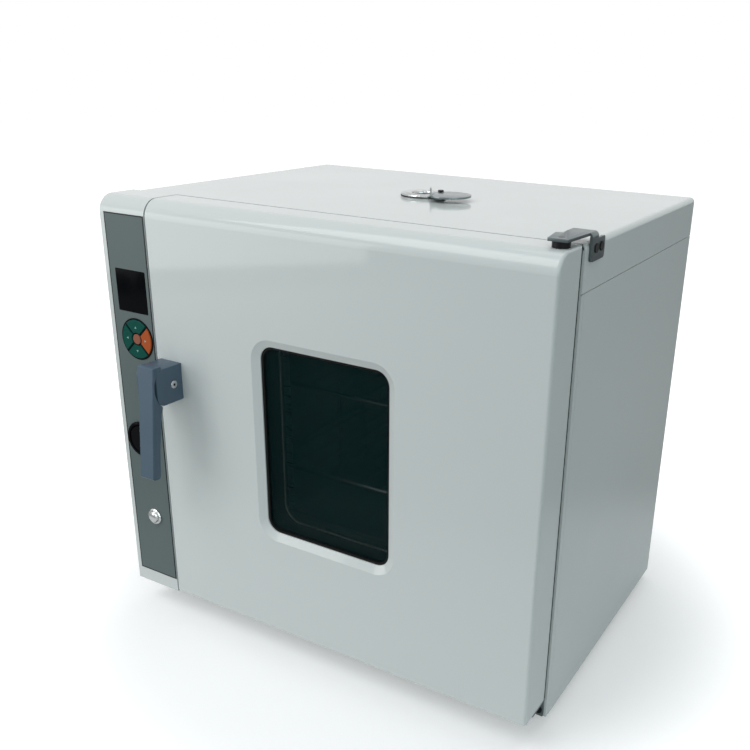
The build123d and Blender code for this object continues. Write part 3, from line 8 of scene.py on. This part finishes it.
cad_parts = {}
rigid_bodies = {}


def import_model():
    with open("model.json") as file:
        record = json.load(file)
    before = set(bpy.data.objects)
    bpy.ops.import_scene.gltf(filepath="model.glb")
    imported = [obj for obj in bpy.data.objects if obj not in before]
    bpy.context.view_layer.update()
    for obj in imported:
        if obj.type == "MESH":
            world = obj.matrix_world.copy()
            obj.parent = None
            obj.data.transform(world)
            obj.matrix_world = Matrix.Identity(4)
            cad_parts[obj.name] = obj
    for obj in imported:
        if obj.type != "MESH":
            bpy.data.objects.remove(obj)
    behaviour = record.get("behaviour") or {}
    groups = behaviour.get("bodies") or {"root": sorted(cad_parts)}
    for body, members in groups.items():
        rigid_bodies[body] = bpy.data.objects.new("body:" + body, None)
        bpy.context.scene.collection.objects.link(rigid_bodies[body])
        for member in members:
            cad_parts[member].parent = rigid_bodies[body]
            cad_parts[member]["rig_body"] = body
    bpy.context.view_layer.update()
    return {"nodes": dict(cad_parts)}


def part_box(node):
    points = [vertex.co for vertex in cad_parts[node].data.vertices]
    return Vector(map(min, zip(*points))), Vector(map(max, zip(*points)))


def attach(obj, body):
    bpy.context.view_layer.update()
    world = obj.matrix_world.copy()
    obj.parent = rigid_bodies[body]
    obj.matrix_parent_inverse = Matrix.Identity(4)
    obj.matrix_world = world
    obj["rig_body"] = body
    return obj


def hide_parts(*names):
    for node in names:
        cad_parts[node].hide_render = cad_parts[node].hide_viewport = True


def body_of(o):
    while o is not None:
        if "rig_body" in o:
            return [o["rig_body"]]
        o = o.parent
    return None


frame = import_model()
nodes = frame["nodes"]
MM = 0.001

# camera: angles in radians, place in metres, lens and sensor in millimetres
CAMERA_TURN, CAMERA_TILT, CAMERA_ROLL = 0.5181, 0.3748, 0.0233
CAMERA_PLACE = (0.4975, -0.8014, 0.6139)
CAMERA_LENS, SENSOR_WIDTH = 43.04, 36.0
SHIFT_X, SHIFT_Y = -0.0712, 0.0503
CAMERA_REACH = 20

# surroundings: a strength of 1 is white
ROOM_LIGHT = 0.44
ROOM_COLOR = (0.93, 0.98, 1.0)
WHITE = (1, 1, 1)

# floor: distances in metres from the middle of the oven
FLOOR_WIDTH = 14
SHEET_EDGE = (0.44, 0.60)       # the white sheet ends softly between these
SHEET_SHADE, FAR_SHADE = 0.80, 0.40
GLOW_EDGE = (0.28, 0.60)        # the floor's own light rises between these
NEAR_GLOW, FAR_GLOW = 0.25, 1.0

# noise keeps to the middle of its range, so this is what is spread over a finish
NOISE_RANGE = (0.3, 0.7)

TO_FRONT = radians(90)          # tilts a primitive so that its top faces the front


def clear_selection():
    bpy.ops.object.select_all(action="DESELECT")


# ---------------------------------------------------------------- camera, lights and floor
def place_camera():
    """Camera in front of the right-hand corner, looking down at the door."""
    ahead = Vector((-sin(CAMERA_TURN) * cos(CAMERA_TILT), cos(CAMERA_TURN) * cos(CAMERA_TILT),
                    -sin(CAMERA_TILT)))
    level = Vector((cos(CAMERA_TURN), sin(CAMERA_TURN), 0))
    upright = level.cross(ahead)
    right = cos(CAMERA_ROLL) * level + sin(CAMERA_ROLL) * upright
    up = -sin(CAMERA_ROLL) * level + cos(CAMERA_ROLL) * upright
    data = bpy.data.cameras.new("studio_camera")
    data.sensor_fit = "HORIZONTAL"
    data.sensor_width = SENSOR_WIDTH
    data.lens = CAMERA_LENS
    data.shift_x = SHIFT_X
    data.shift_y = SHIFT_Y
    data.clip_end = CAMERA_REACH
    camera = bpy.data.objects.new("studio_camera", data)
    camera.matrix_world = Matrix((
        (right.x, up.x, -ahead.x, CAMERA_PLACE[0]),
        (right.y, up.y, -ahead.y, CAMERA_PLACE[1]),
        (right.z, up.z, -ahead.z, CAMERA_PLACE[2]),
        (0, 0, 0, 1)))
    bpy.context.scene.collection.objects.link(camera)
    bpy.context.scene.camera = camera


def soft_light(name, place, aim, size, power, color=WHITE):
    """A square studio lamp that points from place to aim."""
    data = bpy.data.lights.new(name, "AREA")
    data.shape = "SQUARE"
    data.size = size
    data.energy = power
    data.color = color
    lamp = bpy.data.objects.new(name, data)
    lamp.location = place
    lamp.rotation_euler = (Vector(aim) - Vector(place)).to_track_quat("-Z", "Y").to_euler()
    bpy.context.scene.collection.objects.link(lamp)


def combined(tree, operation, first, second):
    """One value worked out of two."""
    node = tree.nodes.new("ShaderNodeMath")
    node.operation = operation
    tree.links.new(first, node.inputs[0])
    tree.links.new(second, node.inputs[1])
    return node.outputs[0]


def any_ray(tree, *kinds):
    """1 for a ray of any of these kinds, which is a ray that the backdrop shows white to."""
    rays = tree.nodes.new("ShaderNodeLightPath")
    found = rays.outputs[kinds[0]]
    for kind in kinds[1:]:
        found = combined(tree, "MAXIMUM", found, rays.outputs[kind])
    return found


def mapped(tree, source, source_range, target_range, interpolation="LINEAR"):
    """Maps a value from one range onto another."""
    node = tree.nodes.new("ShaderNodeMapRange")
    node.interpolation_type = interpolation
    node.inputs["From Min"].default_value, node.inputs["From Max"].default_value = source_range
    node.inputs["To Min"].default_value, node.inputs["To Max"].default_value = target_range
    tree.links.new(source, node.inputs["Value"])
    return node.outputs["Result"]


def studio_world():
    """Even, slightly cool room that shows white to the camera, to gloss and through glass."""
    world = bpy.data.worlds.new("studio")
    bpy.context.scene.world = world
    world.use_nodes = True
    tree = world.node_tree
    tree.nodes.clear()
    out = tree.nodes.new("ShaderNodeOutputWorld")
    room = tree.nodes.new("ShaderNodeBackground")
    room.inputs["Color"].default_value = (*ROOM_COLOR, 1)
    room.inputs["Strength"].default_value = ROOM_LIGHT
    paper = tree.nodes.new("ShaderNodeBackground")
    paper.inputs["Color"].default_value = (*WHITE, 1)
    paper.inputs["Strength"].default_value = 1.0
    mix = tree.nodes.new("ShaderNodeMixShader")
    seen = any_ray(tree, "Is Camera Ray", "Is Glossy Ray", "Is Transmission Ray")
    tree.links.new(seen, mix.inputs["Fac"])
    tree.links.new(room.outputs[0], mix.inputs[1])
    tree.links.new(paper.outputs[0], mix.inputs[2])
    tree.links.new(mix.outputs[0], out.inputs["Surface"])


def studio_floor():
    """A white sheet round the oven on a darker floor, which looks white but for the shadow.

    Its own light shows to the camera and through glass. Gloss sees the floor without it.
    """
    clear_selection()
    bpy.ops.mesh.primitive_plane_add(size=FLOOR_WIDTH, location=(0, 0, 0))
    floor = bpy.context.object
    floor.name = "studio_floor"
    paper = bpy.data.materials.new("floor_paper")
    paper.use_nodes = True
    tree = paper.node_tree
    tree.nodes.clear()
    out = tree.nodes.new("ShaderNodeOutputMaterial")
    matt = tree.nodes.new("ShaderNodeBsdfDiffuse")
    glow = tree.nodes.new("ShaderNodeEmission")
    both = tree.nodes.new("ShaderNodeAddShader")
    coords = tree.nodes.new("ShaderNodeTexCoord")
    length = tree.nodes.new("ShaderNodeVectorMath")
    length.operation = "LENGTH"
    tree.links.new(coords.outputs["Object"], length.inputs[0])
    away = length.outputs["Value"]
    shade = mapped(tree, away, SHEET_EDGE, (SHEET_SHADE, FAR_SHADE), "SMOOTHSTEP")
    light = mapped(tree, away, GLOW_EDGE, (NEAR_GLOW, FAR_GLOW), "SMOOTHSTEP")
    seen = any_ray(tree, "Is Camera Ray", "Is Transmission Ray")
    tree.links.new(shade, matt.inputs["Color"])
    tree.links.new(combined(tree, "MULTIPLY", light, seen), glow.inputs["Strength"])
    tree.links.new(matt.outputs[0], both.inputs[0])
    tree.links.new(glow.outputs[0], both.inputs[1])
    tree.links.new(both.outputs[0], out.inputs["Surface"])
    floor.data.materials.append(paper)


# ---------------------------------------------------------------- finishes
def finish(name, color, roughness, metallic=0.0, coat=0.0):
    """A new Principled material; gives the material, its tree and its shader."""
    material = bpy.data.materials.new(name)
    material.use_nodes = True
    tree = material.node_tree
    shader = tree.nodes["Principled BSDF"]
    shader.inputs["Base Color"].default_value = (*color, 1)
    shader.inputs["Roughness"].default_value = roughness
    shader.inputs["Metallic"].default_value = metallic
    shader.inputs["Coat Weight"].default_value = coat
    return material, tree, shader


def noise(tree, scale, detail, stretch=(1, 1, 1)):
    """Noise over the object's own coordinates, stretched along its axes."""
    coords = tree.nodes.new("ShaderNodeTexCoord")
    mapping = tree.nodes.new("ShaderNodeMapping")
    mapping.inputs["Scale"].default_value = stretch
    grain = tree.nodes.new("ShaderNodeTexNoise")
    grain.inputs["Scale"].default_value = scale
    grain.inputs["Detail"].default_value = detail
    tree.links.new(coords.outputs["Object"], mapping.inputs["Vector"])
    tree.links.new(mapping.outputs["Vector"], grain.inputs["Vector"])
    return grain.outputs["Fac"]


def darker(color, share):
    """The same paint in a darker shade."""
    return tuple(channel * share for channel in color)


def two_shades(tree, source, dark, light):
    """A colour between two shades of one paint."""
    ramp = tree.nodes.new("ShaderNodeMix")
    ramp.data_type = "RGBA"
    ramp.inputs["A"].default_value = (*dark, 1)
    ramp.inputs["B"].default_value = (*light, 1)
    tree.links.new(source, ramp.inputs["Factor"])
    return ramp.outputs["Result"]


def tint(tree, shader, source, dark, light):
    """Colours the shader between two shades of one paint."""
    tree.links.new(two_shades(tree, source, dark, light), shader.inputs["Base Color"])


def vary_roughness(tree, shader, source, low, high):
    """Lets the roughness wander between two values."""
    tree.links.new(mapped(tree, source, NOISE_RANGE, (low, high)), shader.inputs["Roughness"])


def bump(tree, shader, source, height, strength):
    """Small relief, height in metres."""
    relief = tree.nodes.new("ShaderNodeBump")
    relief.inputs["Distance"].default_value = height
    relief.inputs["Strength"].default_value = strength
    tree.links.new(source, relief.inputs["Height"])
    tree.links.new(relief.outputs["Normal"], shader.inputs["Normal"])


def powder_coat(name, color):
    """Gloss powder coat: fine orange peel under a smooth clear layer."""
    material, tree, shader = finish(name, color, roughness=0.42, coat=0.6)
    shader.inputs["Coat Roughness"].default_value = 0.06
    shader.inputs["Specular IOR Level"].default_value = 0.25
    orange_peel = noise(tree, scale=700, detail=2)
    bump(tree, shader, orange_peel, height=0.06 * MM, strength=0.5)
    vary_roughness(tree, shader, noise(tree, scale=9, detail=3), 0.36, 0.46)
    tint(tree, shader, noise(tree, scale=4, detail=3), darker(color, 0.97), color)
    return material


def brushed(name, color, along, roughness=0.3, metallic=1.0):
    """Brushed sheet with the grain along one axis."""
    material, tree, shader = finish(name, color, roughness, metallic)
    stretch = tuple(0.02 if axis == along else 1.0 for axis in "XYZ")
    grain = noise(tree, scale=1400, detail=3, stretch=stretch)
    bump(tree, shader, grain, height=0.03 * MM, strength=0.5)
    vary_roughness(tree, shader, grain, roughness - 0.06, roughness + 0.08)
    streaks = noise(tree, scale=30, detail=3, stretch=stretch)
    tint(tree, shader, streaks, darker(color, 0.92), color)
    return material


def moulded(name, color, roughness, grain_scale=1200, height=0.05 * MM, shine=0.3):
    """Moulded plastic or rubber with a fine spark texture."""
    material, tree, shader = finish(name, color, roughness)
    shader.inputs["Specular IOR Level"].default_value = shine
    bump(tree, shader, noise(tree, scale=grain_scale, detail=2), height=height, strength=0.5)
    vary_roughness(tree, shader, noise(tree, scale=40, detail=3),
                   roughness - 0.05, roughness + 0.05)
    tint(tree, shader, noise(tree, scale=25, detail=3), darker(color, 0.9), color)
    return material


def glass_pane(name, color, cover):
    """Dark toughened glass; cover is the share of light that one face keeps back."""
    material, tree, shader = finish(name, color, roughness=0.03)
    shader.inputs["Alpha"].default_value = cover
    shader.inputs["Specular IOR Level"].default_value = 0.15
    tint(tree, shader, noise(tree, scale=6, detail=2), darker(color, 0.8), color)
    return material


def outlined_film(name, color, edge, low, high, width):
    """Printed membrane: a plain field in fine satin grain with a dark line round its edge."""
    material, tree, shader = finish(name, color, roughness=0.42)
    shader.inputs["Specular IOR Level"].default_value = 0.25
    bump(tree, shader, noise(tree, scale=2200, detail=2), height=0.02 * MM, strength=0.5)
    coords = tree.nodes.new("ShaderNodeTexCoord")
    axes = tree.nodes.new("ShaderNodeSeparateXYZ")
    tree.links.new(coords.outputs["Object"], axes.inputs[0])
    inside = None
    for axis, start, end in (("X", low[0], high[0]), ("Z", low[2], high[2])):
        for limit, operation in ((start + width, "GREATER_THAN"), (end - width, "LESS_THAN")):
            test = tree.nodes.new("ShaderNodeMath")
            test.operation = operation
            test.inputs[1].default_value = limit
            tree.links.new(axes.outputs[axis], test.inputs[0])
            within = test.outputs[0]
            inside = within if inside is None else combined(tree, "MULTIPLY", inside, within)
    field = two_shades(tree, noise(tree, scale=14, detail=3), darker(color, 0.93), color)
    ink = tree.nodes.new("ShaderNodeMix")
    ink.data_type = "RGBA"
    ink.inputs["A"].default_value = (*edge, 1)
    tree.links.new(inside, ink.inputs["Factor"])
    tree.links.new(field, ink.inputs["B"])
    tree.links.new(ink.outputs["Result"], shader.inputs["Base Color"])
    return material


def wool(name, color):
    """Mineral wool with coarse fibres."""
    material, tree, shader = finish(name, color, roughness=0.95)
    bump(tree, shader, noise(tree, scale=260, detail=6), height=1.2 * MM, strength=0.8)
    tint(tree, shader, noise(tree, scale=90, detail=5), darker(color, 0.7), color)
    return material


paint = powder_coat("casing_powder_coat", (0.555, 0.590, 0.583))
motor_paint = powder_coat("motor_grey", (0.06, 0.065, 0.07))

steel_up = brushed("stainless_grain_up", (0.56, 0.58, 0.60), "Z")
steel_across = brushed("stainless_grain_across", (0.56, 0.58, 0.60), "X")
chamber_steel = brushed("chamber_mill_steel", (0.52, 0.56, 0.62), "Z",
                        roughness=0.42, metallic=0.5)
bright_steel = brushed("bright_fixings", (0.66, 0.67, 0.67), "Z", roughness=0.22)
chrome = brushed("bright_plating", (0.66, 0.67, 0.67), "Y", roughness=0.14)
plated = brushed("plated_hinge_steel", (0.135, 0.165, 0.170), "Y", roughness=0.36)
# Near-black steel for the vent pivot screw and the hinge screws. On the door hinge blocks, the
# hinge pins and the pivot socket the black is painted shade, standing in for the shade in the
# gaps at the hinges and in the socket.
shade_black_steel = brushed("black_steel_and_painted_shade", (0.022, 0.022, 0.024), "Z", roughness=0.4)
vent_rim = brushed("vent_ring_steel", (0.46, 0.48, 0.48), "Y", roughness=0.2)
vent_steel = brushed("vent_disc_steel", (0.20, 0.235, 0.245), "X", roughness=0.26)

handle_blue = moulded("handle_blue_grey", (0.078, 0.117, 0.157), roughness=0.38, shine=0.18)
black_plastic = moulded("black_plastic", (0.003, 0.003, 0.004), roughness=0.30, shine=0.05)
display_black = moulded("display_window", (0.0008, 0.0012, 0.0022), roughness=0.10,
                        grain_scale=2200, height=0.005 * MM, shine=0.04)
teal_key = moulded("teal_key", (0.003, 0.072, 0.056), roughness=0.28, shine=0.06)
orange_key = moulded("orange_key", (0.40, 0.088, 0.024), roughness=0.30, shine=0.06)
salmon_key = moulded("salmon_key", (0.28, 0.105, 0.070), roughness=0.32, shine=0.06)
key_print = moulded("key_print", (0.30, 0.50, 0.46), roughness=0.4)
switch_print = moulded("switch_print", (0.45, 0.47, 0.47), roughness=0.4)
black_rubber = moulded("black_rubber", (0.006, 0.006, 0.006), roughness=0.55,
                       grain_scale=700, height=0.1 * MM, shine=0.15)
seal_silicone = moulded("seal_silicone", (0.30, 0.06, 0.035), roughness=0.5)
board_green = moulded("board_green", (0.015, 0.10, 0.04), roughness=0.35)

film_low, film_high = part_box("control_overlay")
overlay_grey = outlined_film("overlay_film", (0.098, 0.128, 0.127), edge=(0.006, 0.008, 0.009),
                             low=film_low, high=film_high, width=1.3 * MM)
dark_glass = glass_pane("dark_glass", (0.0005, 0.016, 0.017), cover=0.30)
insulation = wool("mineral_wool", (0.62, 0.58, 0.42))

FINISH_OF = {
    paint: ["base_tray", "side_panel_left", "side_panel_right", "top_cover", "rear_panel",
            "front_frame", "control_fascia", "door_skin"],
    chamber_steel: ["chamber_liner"],
    steel_up: ["rear_baffle", "rack_posts", "motor_mount", "vent_tube"],
    steel_across: ["door_liner", "shelf_rails", "shelf_upper", "shelf_lower", "fan_impeller",
                   "heater_element"],
    bright_steel: ["fan_shaft", "casing_screws", "handle_pivot", "latch_hook", "striker",
                   "temperature_probe"],
    plated: ["upper_hinge_bracket", "lower_hinge_bracket"],
    # door hinge blocks and hinge pins: black as painted shade for the gaps at the hinges
    shade_black_steel: ["vent_pivot", "door_hinge_blocks", "hinge_pins", "hinge_screws"],
    vent_rim: ["vent_ring"],
    chrome: ["button_bezel", "push_button"],
    vent_steel: ["vent_disc"],
    handle_blue: ["handle_base", "handle_lever"],
    black_plastic: ["switch_housing", "power_rocker", "keypad_bezel", "power_inlet",
                    "fuse_holder"],
    overlay_grey: ["control_overlay"],
    display_black: ["display_window"],
    teal_key: ["key_up", "key_left", "key_down"],
    orange_key: ["key_right"],
    salmon_key: ["key_centre"],
    dark_glass: ["outer_glass", "inner_glass"],
    black_rubber: ["window_gasket", "window_tunnel", "feet"],
    seal_silicone: ["door_gasket"],
    board_green: ["display_board", "controller_board"],
    motor_paint: ["fan_motor"],
    insulation: ["insulation_jacket", "door_insulation"],
}


def dress_nodes():
    """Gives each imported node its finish."""
    for material, names in FINISH_OF.items():
        for name in names:
            slots = nodes[name].data.materials
            slots.clear()
            slots.append(material)


# ---------------------------------------------------------------- small trim
def new_piece(name, material, body):
    """Names the active object, settles it at the origin and lets it ride on a body."""
    piece = bpy.context.object
    piece.name = name
    piece.data.materials.clear()
    piece.data.materials.append(material)
    bpy.ops.object.transform_apply(location=True, rotation=True, scale=True)
    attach(piece, body)


def edit_all():
    """Opens the active object for editing with all of it selected."""
    bpy.ops.object.mode_set(mode="EDIT")
    bpy.ops.mesh.select_all(action="SELECT")


def round_edges(width):
    """Rounds every edge of what is being edited, and closes editing."""
    bpy.ops.mesh.bevel(offset=width, segments=2, affect="EDGES")
    bpy.ops.object.mode_set(mode="OBJECT")


def between(low, high):
    """The middle of a box."""
    return tuple((start + end) / 2 for start, end in zip(low, high))


def key_arrows():
    """A small raised arrowhead on each outer key, pointing away from the centre key."""
    reach = 12.6 * MM           # from the middle of the pad
    radius, thickness, stand = 1.5 * MM, 0.3 * MM, 0.1 * MM
    low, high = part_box("key_centre")
    x, _, z = between(low, high)
    for name, turn, dx, dz in (("up", 0, 0, 1), ("right", 90, 1, 0),
                               ("down", 180, 0, -1), ("left", -90, -1, 0)):
        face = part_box("key_" + name)[0][1]
        clear_selection()
        bpy.ops.mesh.primitive_cylinder_add(
            vertices=3, radius=radius, depth=thickness,
            location=(x + dx * reach, face - stand, z + dz * reach),
            rotation=(TO_FRONT, radians(turn), 0))
        edit_all()
        round_edges(0.1 * MM)
        new_piece(name + "_key_arrow", key_print, name + "_key")


def rocker_marks():
    """The bar and the ring on the two halves of the power rocker."""
    from_middle, sunk = 8.5 * MM, 0.3 * MM
    bar_size = (1.0 * MM, 0.3 * MM, 4.4 * MM)
    ring_radius, ring_wire, ring_flattening = 1.9 * MM, 0.45 * MM, 0.35
    low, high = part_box("power_rocker")
    x, _, z = between(low, high)
    face = low[1] + sunk
    clear_selection()
    bpy.ops.mesh.primitive_cube_add(size=1, location=(x, face, z + from_middle))
    edit_all()
    bpy.ops.transform.resize(value=bar_size)
    round_edges(0.1 * MM)
    new_piece("rocker_bar_mark", switch_print, "rocker")
    clear_selection()
    bpy.ops.mesh.primitive_torus_add(
        major_radius=ring_radius, minor_radius=ring_wire, major_segments=28, minor_segments=6,
        location=(x, face, z - from_middle), rotation=(TO_FRONT, 0, 0))
    edit_all()
    bpy.ops.transform.resize(value=(1, ring_flattening, 1))
    bpy.ops.object.mode_set(mode="OBJECT")
    new_piece("rocker_ring_mark", switch_print, "rocker")


def column_return():
    """The folded edge that closes the back of the column where it stands past the casing."""
    sheet, side_room, end_room = 1.2 * MM, 0.8 * MM, 2 * MM
    column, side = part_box("control_fascia"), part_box("side_panel_left")
    x0, x1 = column[0][0], side[0][0]
    back = column[1][1]
    z0, z1 = column[0][2], column[1][2]
    clear_selection()
    bpy.ops.mesh.primitive_cube_add(
        size=1, location=((x0 + x1) / 2, back - sheet / 2, (z0 + z1) / 2))
    edit_all()
    bpy.ops.transform.resize(value=(x1 - x0 - 2 * side_room, sheet, z1 - z0 - 2 * end_room))
    round_edges(0.3 * MM)
    new_piece("column_return", paint, "cabinet")


def door_gap_painted_shade():
    """Black edging on the door's back rim, painted shade: it stands in for the shade in the gap
    to the casing and shows there as a dark line.
    """
    width, rim_room, gap = 5 * MM, 0.3 * MM, 0.3 * MM
    low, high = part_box("door_liner")
    frame_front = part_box("front_frame")[0][1]
    depth = frame_front - high[1] - gap
    x, _, z = between(low, high)
    clear_selection()
    bpy.ops.mesh.primitive_plane_add(
        size=1, location=(x, high[1], z), rotation=(TO_FRONT, 0, 0))
    edit_all()
    bpy.ops.transform.resize(
        value=(high[0] - low[0] - 2 * rim_room, 1, high[2] - low[2] - 2 * rim_room))
    bpy.ops.mesh.inset(thickness=width)
    bpy.ops.mesh.delete(type="FACE")
    bpy.ops.object.mode_set(mode="OBJECT")
    bpy.ops.object.modifier_add(type="SOLIDIFY")
    wall = bpy.context.object.modifiers[-1]
    wall.thickness = depth
    wall.offset = -1
    bpy.ops.object.modifier_apply(modifier=wall.name)
    # the strip's black is painted shade for the gap between door and casing
    new_piece("door_gap_painted_shade", black_rubber, "door")


# edges rolled over on the small parts: width in mm
SOFT_EDGES = {
    "handle_lever": 1.1, "handle_base": 1.6,
    "upper_hinge_bracket": 0.5, "lower_hinge_bracket": 0.4,
    "vent_disc": 0.3, "vent_ring": 0.5,
    "button_bezel": 0.3, "push_button": 0.5, "switch_housing": 0.4,
    "handle_pivot": 0.4,
}


def soften_edges():
    """Puts a copy with rolled-over edges in place of each small hard-edged part."""
    same_point = 0.01 * MM
    same_face, sharp_edge, smooth_edge = radians(2), radians(50), radians(40)
    finish_of = {name: material for material, names in FINISH_OF.items() for name in names}
    for name, width in SOFT_EDGES.items():
        clear_selection()
        piece = bpy.data.objects.new(name + "_finished", nodes[name].data.copy())
        bpy.context.scene.collection.objects.link(piece)
        bpy.context.view_layer.objects.active = piece
        piece.select_set(True)
        edit_all()
        bpy.ops.mesh.remove_doubles(threshold=same_point)
        bpy.ops.mesh.dissolve_limited(angle_limit=same_face)
        bpy.ops.object.mode_set(mode="OBJECT")
        bpy.ops.object.modifier_add(type="BEVEL")
        edge = piece.modifiers[-1]
        edge.width = width * MM
        edge.segments = 3
        edge.limit_method = "ANGLE"
        edge.angle_limit = sharp_edge
        bpy.ops.object.modifier_apply(modifier=edge.name)
        bpy.ops.object.shade_smooth_by_angle(angle=smooth_edge)
        new_piece(name + "_finished", finish_of[name], body_of(nodes[name])[0])
        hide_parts(name)


def pivot_socket_painted_shade():
    """The hexagon socket in the head of the handle's pivot screw, drawn as a dark steel hexagon:
    painted shade, standing in for the shade inside the socket.
    """
    radius, depth = 1.5 * MM, 0.5 * MM
    low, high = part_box("handle_pivot")
    _, y, z = between(low, high)
    clear_selection()
    bpy.ops.mesh.primitive_cylinder_add(
        vertices=6, radius=radius, depth=depth,
        location=(high[0], y, z), rotation=(0, TO_FRONT, 0))
    edit_all()
    round_edges(0.12 * MM)
    new_piece("pivot_socket_painted_shade", shade_black_steel, body_of(nodes["handle_pivot"])[0])


def vent_painted_reflection_band():
    """A black ring that shows as a band round the side of the vent ring: a painted reflection,
    standing in for the dark surroundings that the ring's side reflects.
    """
    inset, wire, lift = 0.1 * MM, 0.8 * MM, 1.5 * MM
    squeeze, stretch = 0.985, 1.15
    low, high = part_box("vent_ring")
    x, y, _ = between(low, high)
    clear_selection()
    bpy.ops.mesh.primitive_torus_add(
        major_radius=(high[0] - low[0]) / 2 - inset, minor_radius=wire,
        major_segments=64, minor_segments=10, location=(x, y, low[2] + lift))
    edit_all()
    bpy.ops.transform.resize(value=(squeeze, squeeze, stretch))
    bpy.ops.object.mode_set(mode="OBJECT")
    bpy.ops.object.shade_smooth()
    # the ring's black is a painted reflection, not a seal
    new_piece("vent_painted_reflection_band", black_rubber, "cabinet")


place_camera()
studio_world()
studio_floor()
# places and aims in metres, powers in watts
soft_light("key_lamp", place=(-0.9, -1.5, 2.3), aim=(0, 0, 0.25), size=1.6, power=27)
soft_light("fill_lamp", place=(1.9, -1.4, 1.3), aim=(0, 0, 0.25), size=1.8, power=12.5,
           color=(0.78, 0.98, 1.0))
soft_light("low_lamp", place=(-1.2, -1.3, 0.5), aim=(-0.1, -0.2, 0.15), size=0.9, power=6.5)
soft_light("top_lamp", place=(0.2, 0.6, 2.6), aim=(0, 0, 0.4), size=1.8, power=11)
dress_nodes()
key_arrows()
rocker_marks()
column_return()
door_gap_painted_shade()
soften_edges()
pivot_socket_painted_shade()
vent_painted_reflection_band()

bpy.context.scene.view_settings.view_transform = "Standard"
